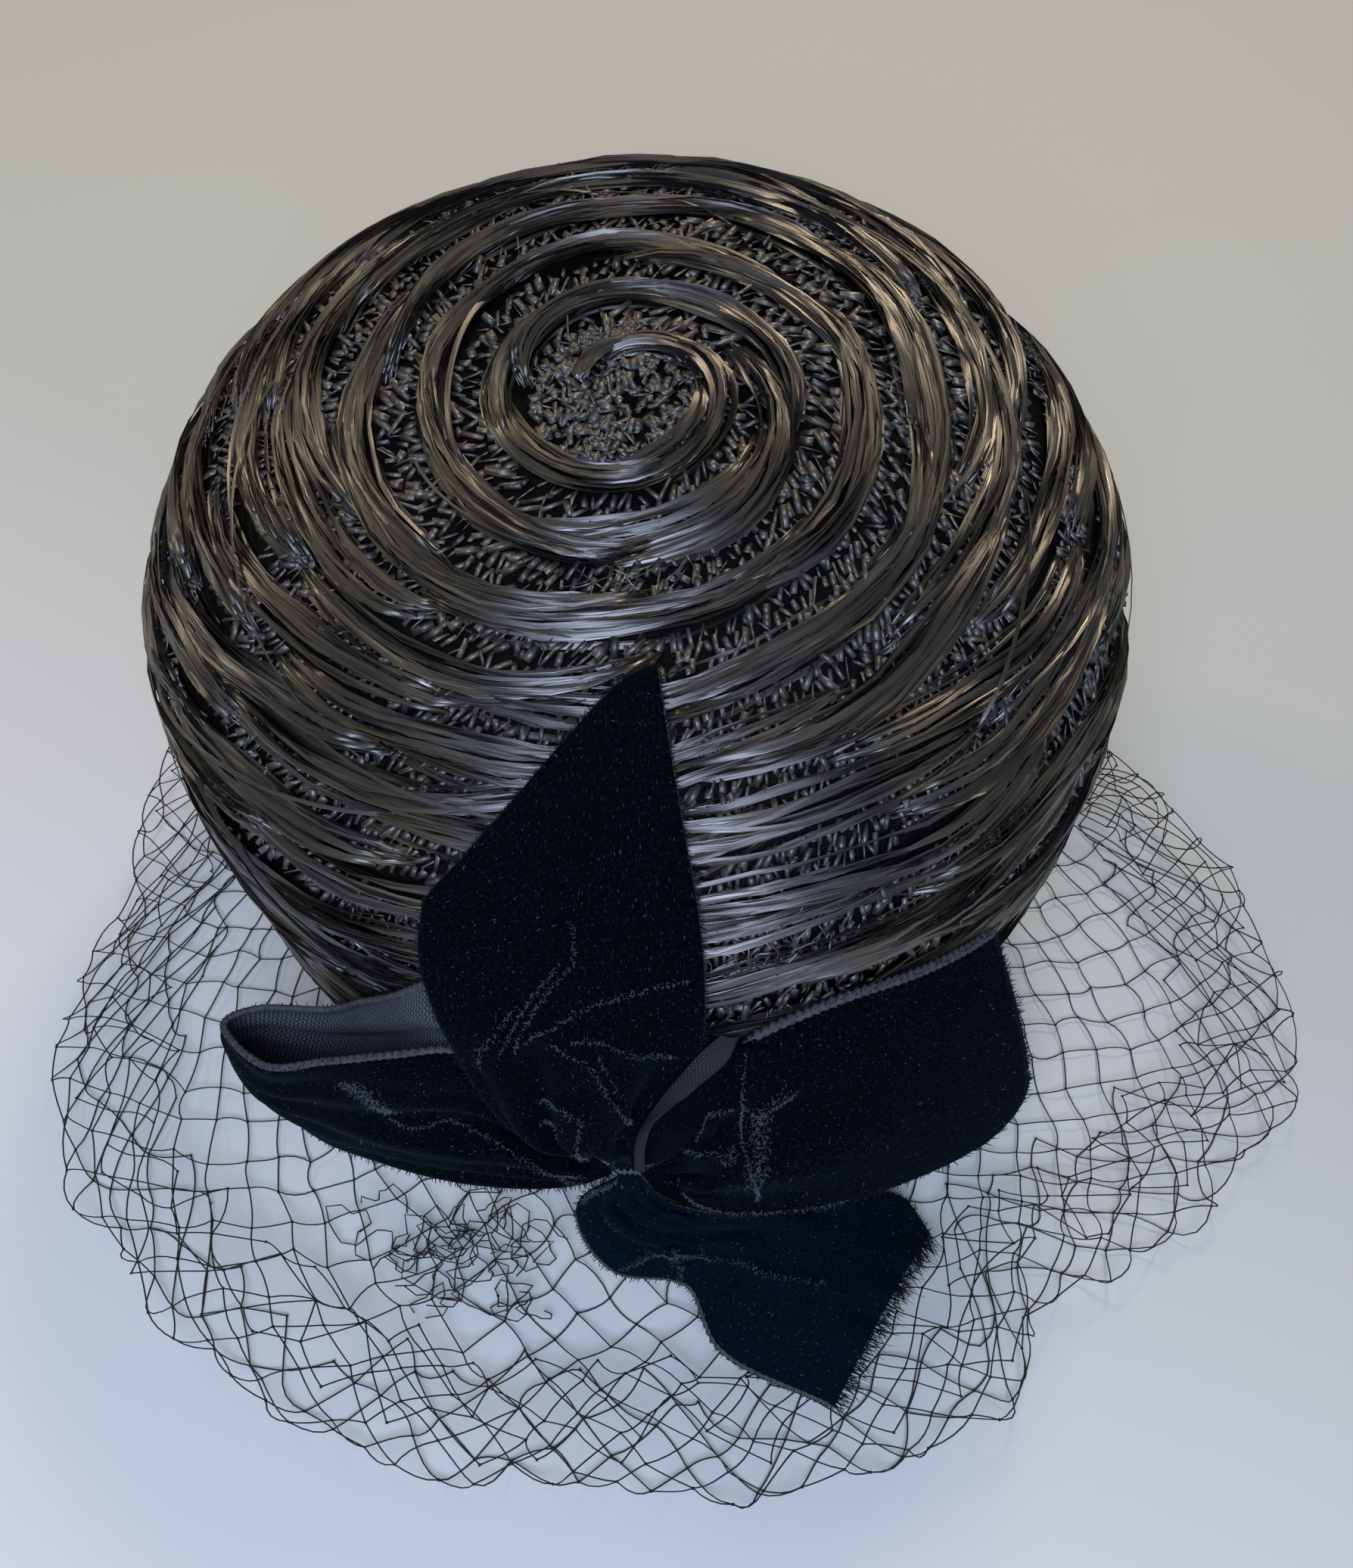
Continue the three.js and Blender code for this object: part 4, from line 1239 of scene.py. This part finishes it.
class HAT_OT_bow(bpy.types.Operator):
    """Folds the ribbon of the bow, with its woven edges, its pile and its cut ends"""

    bl_idname = "hat.bow"
    bl_label = "Velvet Bow"

    def execute(self, context):
        crown, bow = context.scene.hat_crown, context.scene.hat_bow
        velvet = velvet_material("silk_velvet_pile", bow.velvet, bow)
        # The front end has its own paler, bluer velvet as painted light, because it faces up into the light
        laid = velvet_material("laid_silk_velvet_pile", bow.laid, bow)
        back = backing_material("woven_ribbon_back", bow.backing)
        edges, sheets, pieces = [], {}, []
        tables = {
            "bow_upright": (UPRIGHT, True, velvet, ["crown_ground"]),
            "bow_left_loop": (LEFT_LOOP, False, velvet, ["crown_ground"]),
            "bow_right_tail": (RIGHT_TAIL, True, velvet, ["crown_ground"]),
            "bow_front_tail": (FRONT_TAIL, False, laid, ["veil_net"]),
        }
        for name, (sections, turned, face, rests_on) in tables.items():
            piece, middle, normal, run = ribbon_sheet(crown, bow, name, sections, turned, [face, back])
            pieces.append((piece, run, rests_on))
            sheets[name] = (middle, normal, run)
            for side, (share, begin) in zip((0, -1), EDGES[name]):
                edges.append((middle[:, side], normal[:, side], share * bow.selvedge, begin * MM))
        thread = thread_material("woven_ribbon_edge", bow.edge, 0.7)
        new_piece("bow_edges", *joined(edge_cords(bow, edges)), [thread], "velvet")
        # The turned edge has a darker copy of the woven back, as painted shade
        self.turned_edge(crown, bow, backing_material("turned_ribbon_back", bow.turned))
        self.inner_folds(sheets, velvet)
        pile = thread_material("cut_velvet_pile", bow.fleck, 0.9)
        new_piece("bow_pile", *joined(self.pile(bow, sheets)), [pile], "velvet")
        new_piece("bow_fray", *joined(self.cut_ends(bow, sheets)), [pile], "velvet")
        # Pale hairs along the creases are a painted highlight; real lint is strewn with them in the same
        # colour
        bright = thread_material("bent_velvet_pile", bow.crest, 0.6)
        new_piece("bow_crests", *joined(self.crests(bow, sheets)), [bright], "velvet")
        for piece, run, rests_on in pieces:
            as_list(rests_on)
        return {"FINISHED"}

    def turned_edge(self, crown, bow, material):
        """Narrow strip of the ribbon's back, turned outwards beside the middle of the bow."""
        rows, columns, run, wide = 61, 13, 52 * MM, 9 * MM
        middle = ribbon_middle(crown, bow, TURNED_EDGE, rows, columns)
        half = sheet_normals(middle) * 0.3 * MM
        points, faces, _ = slab(middle + half, middle - half)
        cloth = both_faces(np.linspace(0, run, rows)[:, None], np.linspace(0, wide, columns)[None])
        new_piece("ribbon_turned_edge", points, faces, [material], "velvet", cloth=cloth)

    def inner_folds(self, sheets, material):
        """Cloth of the gathers: it spans from one ribbon's edge to the next one's, a little behind both."""
        spans = (("bow_upright", "bow_right_tail", 47), ("bow_right_tail", "bow_front_tail", 26))
        share, wide = np.linspace(0, 1, 13), 20 * MM
        parts, cloths = [], []
        for first, second, reach in spans:
            steps = np.linspace(0, reach * MM, 33)
            lines = []
            for name, column, behind in ((first, 3, 1.5), (second, -4, 0.9)):
                middle, normal, _ = sheets[name]
                line = middle[:, column] - behind * MM * normal[:, column]
                lines.append(at_run(line, run_along(line), steps))
            grid = lines[0][:, None] + (lines[1] - lines[0])[:, None] * share[None, :, None]
            half = 0.4 * MM * sheet_normals(grid)
            parts.append(slab(grid + half, grid - half))
            cloths.append(both_faces(steps[:, None], wide * share[None]))
        points, faces = joined(parts)
        new_piece("ribbon_inner_folds", points, faces, [material], "velvet", cloth=np.concatenate(cloths))

    def pile(self, bow, sheets):
        """Pile that stands over the ribbon's long edges, leaning out and up from its face."""
        rng = np.random.default_rng(41)
        for middle, normal, _ in sheets.values():
            for edge, inner in ((0, 1), (-1, -2)):
                line = middle[:, edge]
                share = hair_roots(rng, line, 0.55 * MM)
                away = at_share(unit(line - middle[:, inner]), share)
                face = at_share(normal[:, edge], share)
                size = bow.pile * rng.uniform(0.6, 1.2, len(share))
                root = at_share(line, share) + 0.3 * bow.thickness * face
                yield hairs(root, away + 0.7 * face, size, 0.13 * MM, rng)

    def cut_ends(self, bow, sheets):
        """Threads at the three cut ends, short on two of them and long where the front one has frayed."""
        rng = np.random.default_rng(43)
        for name, reach in (("bow_upright", 0.3), ("bow_right_tail", 0.45), ("bow_front_tail", 1.0)):
            middle, normal, _ = sheets[name]
            for lift in (-0.3, 0.0, 0.3):
                share = hair_roots(rng, middle[-1], 0.45 * MM)
                ahead = at_share(unit(middle[-1] - middle[-2]), share)
                root = at_share(middle[-1] + lift * bow.thickness * normal[-1], share) - 0.5 * MM * ahead
                size = bow.fray * reach * rng.uniform(0.55, 1.3, len(share))
                yield hairs(root, ahead, size, 0.14 * MM, rng)

    def crests(self, bow, sheets):
        """Pale hairs along the crest of every crease as a painted highlight, and lint strewn over all of
        the velvet.
        """
        rng = np.random.default_rng(47)
        for name, (middle, normal, run) in sheets.items():
            flat = np.array([run, bow.width, 0])
            spots = [rng.random((bow.lint, 2))]
            for crease in CREASES[name]:
                way = np.pad(np.array(crease.way), ((0, 0), (0, 1))) * flat
                share = np.repeat(hair_roots(rng, way, bow.crest_step), 1 + int(2 * crease.spread))
                strewn = at_share(way, share) + rng.normal(0, 0.65 * crease.spread * MM, (len(share), 3))
                spots.append((strewn / np.maximum(flat, MM))[:, :2])
            along, across = np.concatenate(spots).T
            face = at_spot(normal, along, across)
            root = at_spot(middle, along, across) + 0.45 * bow.thickness * face
            size = rng.uniform(0.3, 0.8, len(root)) * MM
            yield hairs(root, 0.7 * face + rng.normal(0, 0.6, face.shape), size, 0.07 * MM, rng)


class HAT_OT_veil(bpy.types.Operator):
    """Knots the net veil round the rim"""

    bl_idname = "hat.veil"
    bl_label = "Net Veil"

    def execute(self, context):
        crown, veil = context.scene.hat_crown, context.scene.hat_veil
        material = thread_material("knotted_net_thread", veil.black, 0.75)
        parts = [net_loops(veil)]
        for layer in range(2):
            lattice = net_lattice(crown, veil, layer)
            parts += [net_threads(crown, veil, *lattice), net_knots(crown, veil, *lattice)]
        piece = new_piece("veil_net", *joined(parts), [material], "net")
        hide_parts("veil")
        return {"FINISHED"}


# Lights by name: the setting that holds the colour, then watts, size and place
LIGHTS = {
    "daylight": ("daylight", 17.8, 0.75, (-0.05, -0.9, 0.95)),
    "lamp_behind": ("lamplight", 5.2, 0.25, (0.2, 0.8, 0.95)),
    "lamp_left": ("lamplight", 2.2, 0.2, (-0.95, 0.5, 0.7)),
}
# Place that all the lights face
LIT = np.array([0, 0.02, 0.06])


class HAT_OT_stage(bpy.types.Operator):
    """Sets the floor, the lights and the camera"""

    bl_idname = "hat.stage"
    bl_label = "Stage"

    def execute(self, context):
        stage = context.scene.hat_stage
        self.floor(context, stage)
        for name, (hue, watts, size, place) in LIGHTS.items():
            self.light(context, name, getattr(stage, hue), watts, size, place)
        world = context.scene.world or bpy.data.worlds.new("studio")
        context.scene.world = world
        world.use_nodes = True
        back = world.node_tree.nodes["Background"]
        back.inputs["Color"].default_value = (1, 1, 1, 1)
        back.inputs["Strength"].default_value = stage.ambient
        context.scene.view_settings.view_transform = "Standard"
        self.camera(context, stage)
        return {"FINISHED"}

    def floor(self, context, stage):
        """Square of paper under the hat, wide enough to fill the view."""
        half = 3.0
        mesh = bpy.data.meshes.new("floor")
        corners = np.array([[-half, -half, 0], [half, -half, 0], [half, half, 0], [-half, half, 0]])
        mesh.from_pydata(corners, [], [(0, 1, 2, 3)])
        mesh.materials.append(paper_material(stage))
        floor = bpy.data.objects.new("floor", mesh)
        context.scene.collection.objects.link(floor)
        floor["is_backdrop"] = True

    def light(self, context, name, rgb, watts, size, place):
        """Square light at a place."""
        lamp = bpy.data.lights.new(name, "AREA")
        lamp.energy, lamp.size, lamp.color = watts, size, rgb
        holder = bpy.data.objects.new(name, lamp)
        holder.matrix_world = facing(np.array(place), LIT, 0)
        context.scene.collection.objects.link(holder)

    def camera(self, context, stage):
        """Camera that sees the hat as the photo does."""
        lens = bpy.data.cameras.new("camera")
        lens.sensor_fit, lens.sensor_width, lens.lens = "AUTO", stage.sensor, stage.focal
        lens.clip_start = 0.01
        holder = bpy.data.objects.new("camera", lens)
        back = np.array([0, -np.cos(stage.elevation), np.sin(stage.elevation)])
        aim = np.array([stage.aim_x, stage.aim_y, 0])
        holder.matrix_world = facing(aim + back * stage.distance, aim, stage.roll)
        context.scene.collection.objects.link(holder)
        context.scene.camera = holder


def facing(place, aim, roll):
    """Matrix of a light or camera at a place, looking at its aim, turned by a roll."""
    back = unit(place - aim)
    right = unit(np.cross((0, 0, 1), back))
    above = np.cross(back, right)
    turned = np.cos(roll) * right + np.sin(roll) * above
    upward = np.cos(roll) * above - np.sin(roll) * right
    matrix = np.eye(4)
    matrix[:3] = np.stack([turned, upward, back, place], -1)
    return Matrix(matrix.tolist())


class HAT_PT_panel(bpy.types.Panel):
    """Lists the pieces of the hat"""

    bl_idname = "HAT_PT_panel"
    bl_label = "Pillbox Hat"
    bl_space_type = "VIEW_3D"
    bl_region_type = "UI"
    bl_category = "Hat"

    def draw(self, context):
        for maker in MAKERS:
            self.layout.operator(maker.bl_idname)


MAKERS = (HAT_OT_stage, HAT_OT_ground, HAT_OT_hanks, HAT_OT_knit, HAT_OT_veil, HAT_OT_bow)
SETTINGS = {
    "hat_crown": CrownSettings,
    "hat_straw": StrawSettings,
    "hat_bow": BowSettings,
    "hat_veil": VeilSettings,
    "hat_stage": StageSettings,
}


def register():
    """Registers the settings, the operators and the panel."""
    for name, settings in SETTINGS.items():
        bpy.utils.register_class(settings)
        setattr(bpy.types.Scene, name, bpy.props.PointerProperty(type=settings))
    for maker in (*MAKERS, HAT_PT_panel):
        bpy.utils.register_class(maker)


def unregister():
    """Takes back what register adds."""
    for maker in (HAT_PT_panel, *reversed(MAKERS)):
        bpy.utils.unregister_class(maker)
    for name, settings in reversed(SETTINGS.items()):
        delattr(bpy.types.Scene, name)
        bpy.utils.unregister_class(settings)


def main():
    """Clears Blender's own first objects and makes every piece."""
    for name in ("Cube", "Light", "Camera"):
        if name in bpy.data.objects:
            bpy.data.objects.remove(bpy.data.objects[name])
    register()
    for maker in MAKERS:
        getattr(bpy.ops.hat, maker.bl_idname.split(".")[1])()
    boxes = {"cad": CAD_BOX, "visual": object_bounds()}
    {name: [list(corner) for corner in box] for name, box in boxes.items()}


if __name__ == "__main__":
    main()
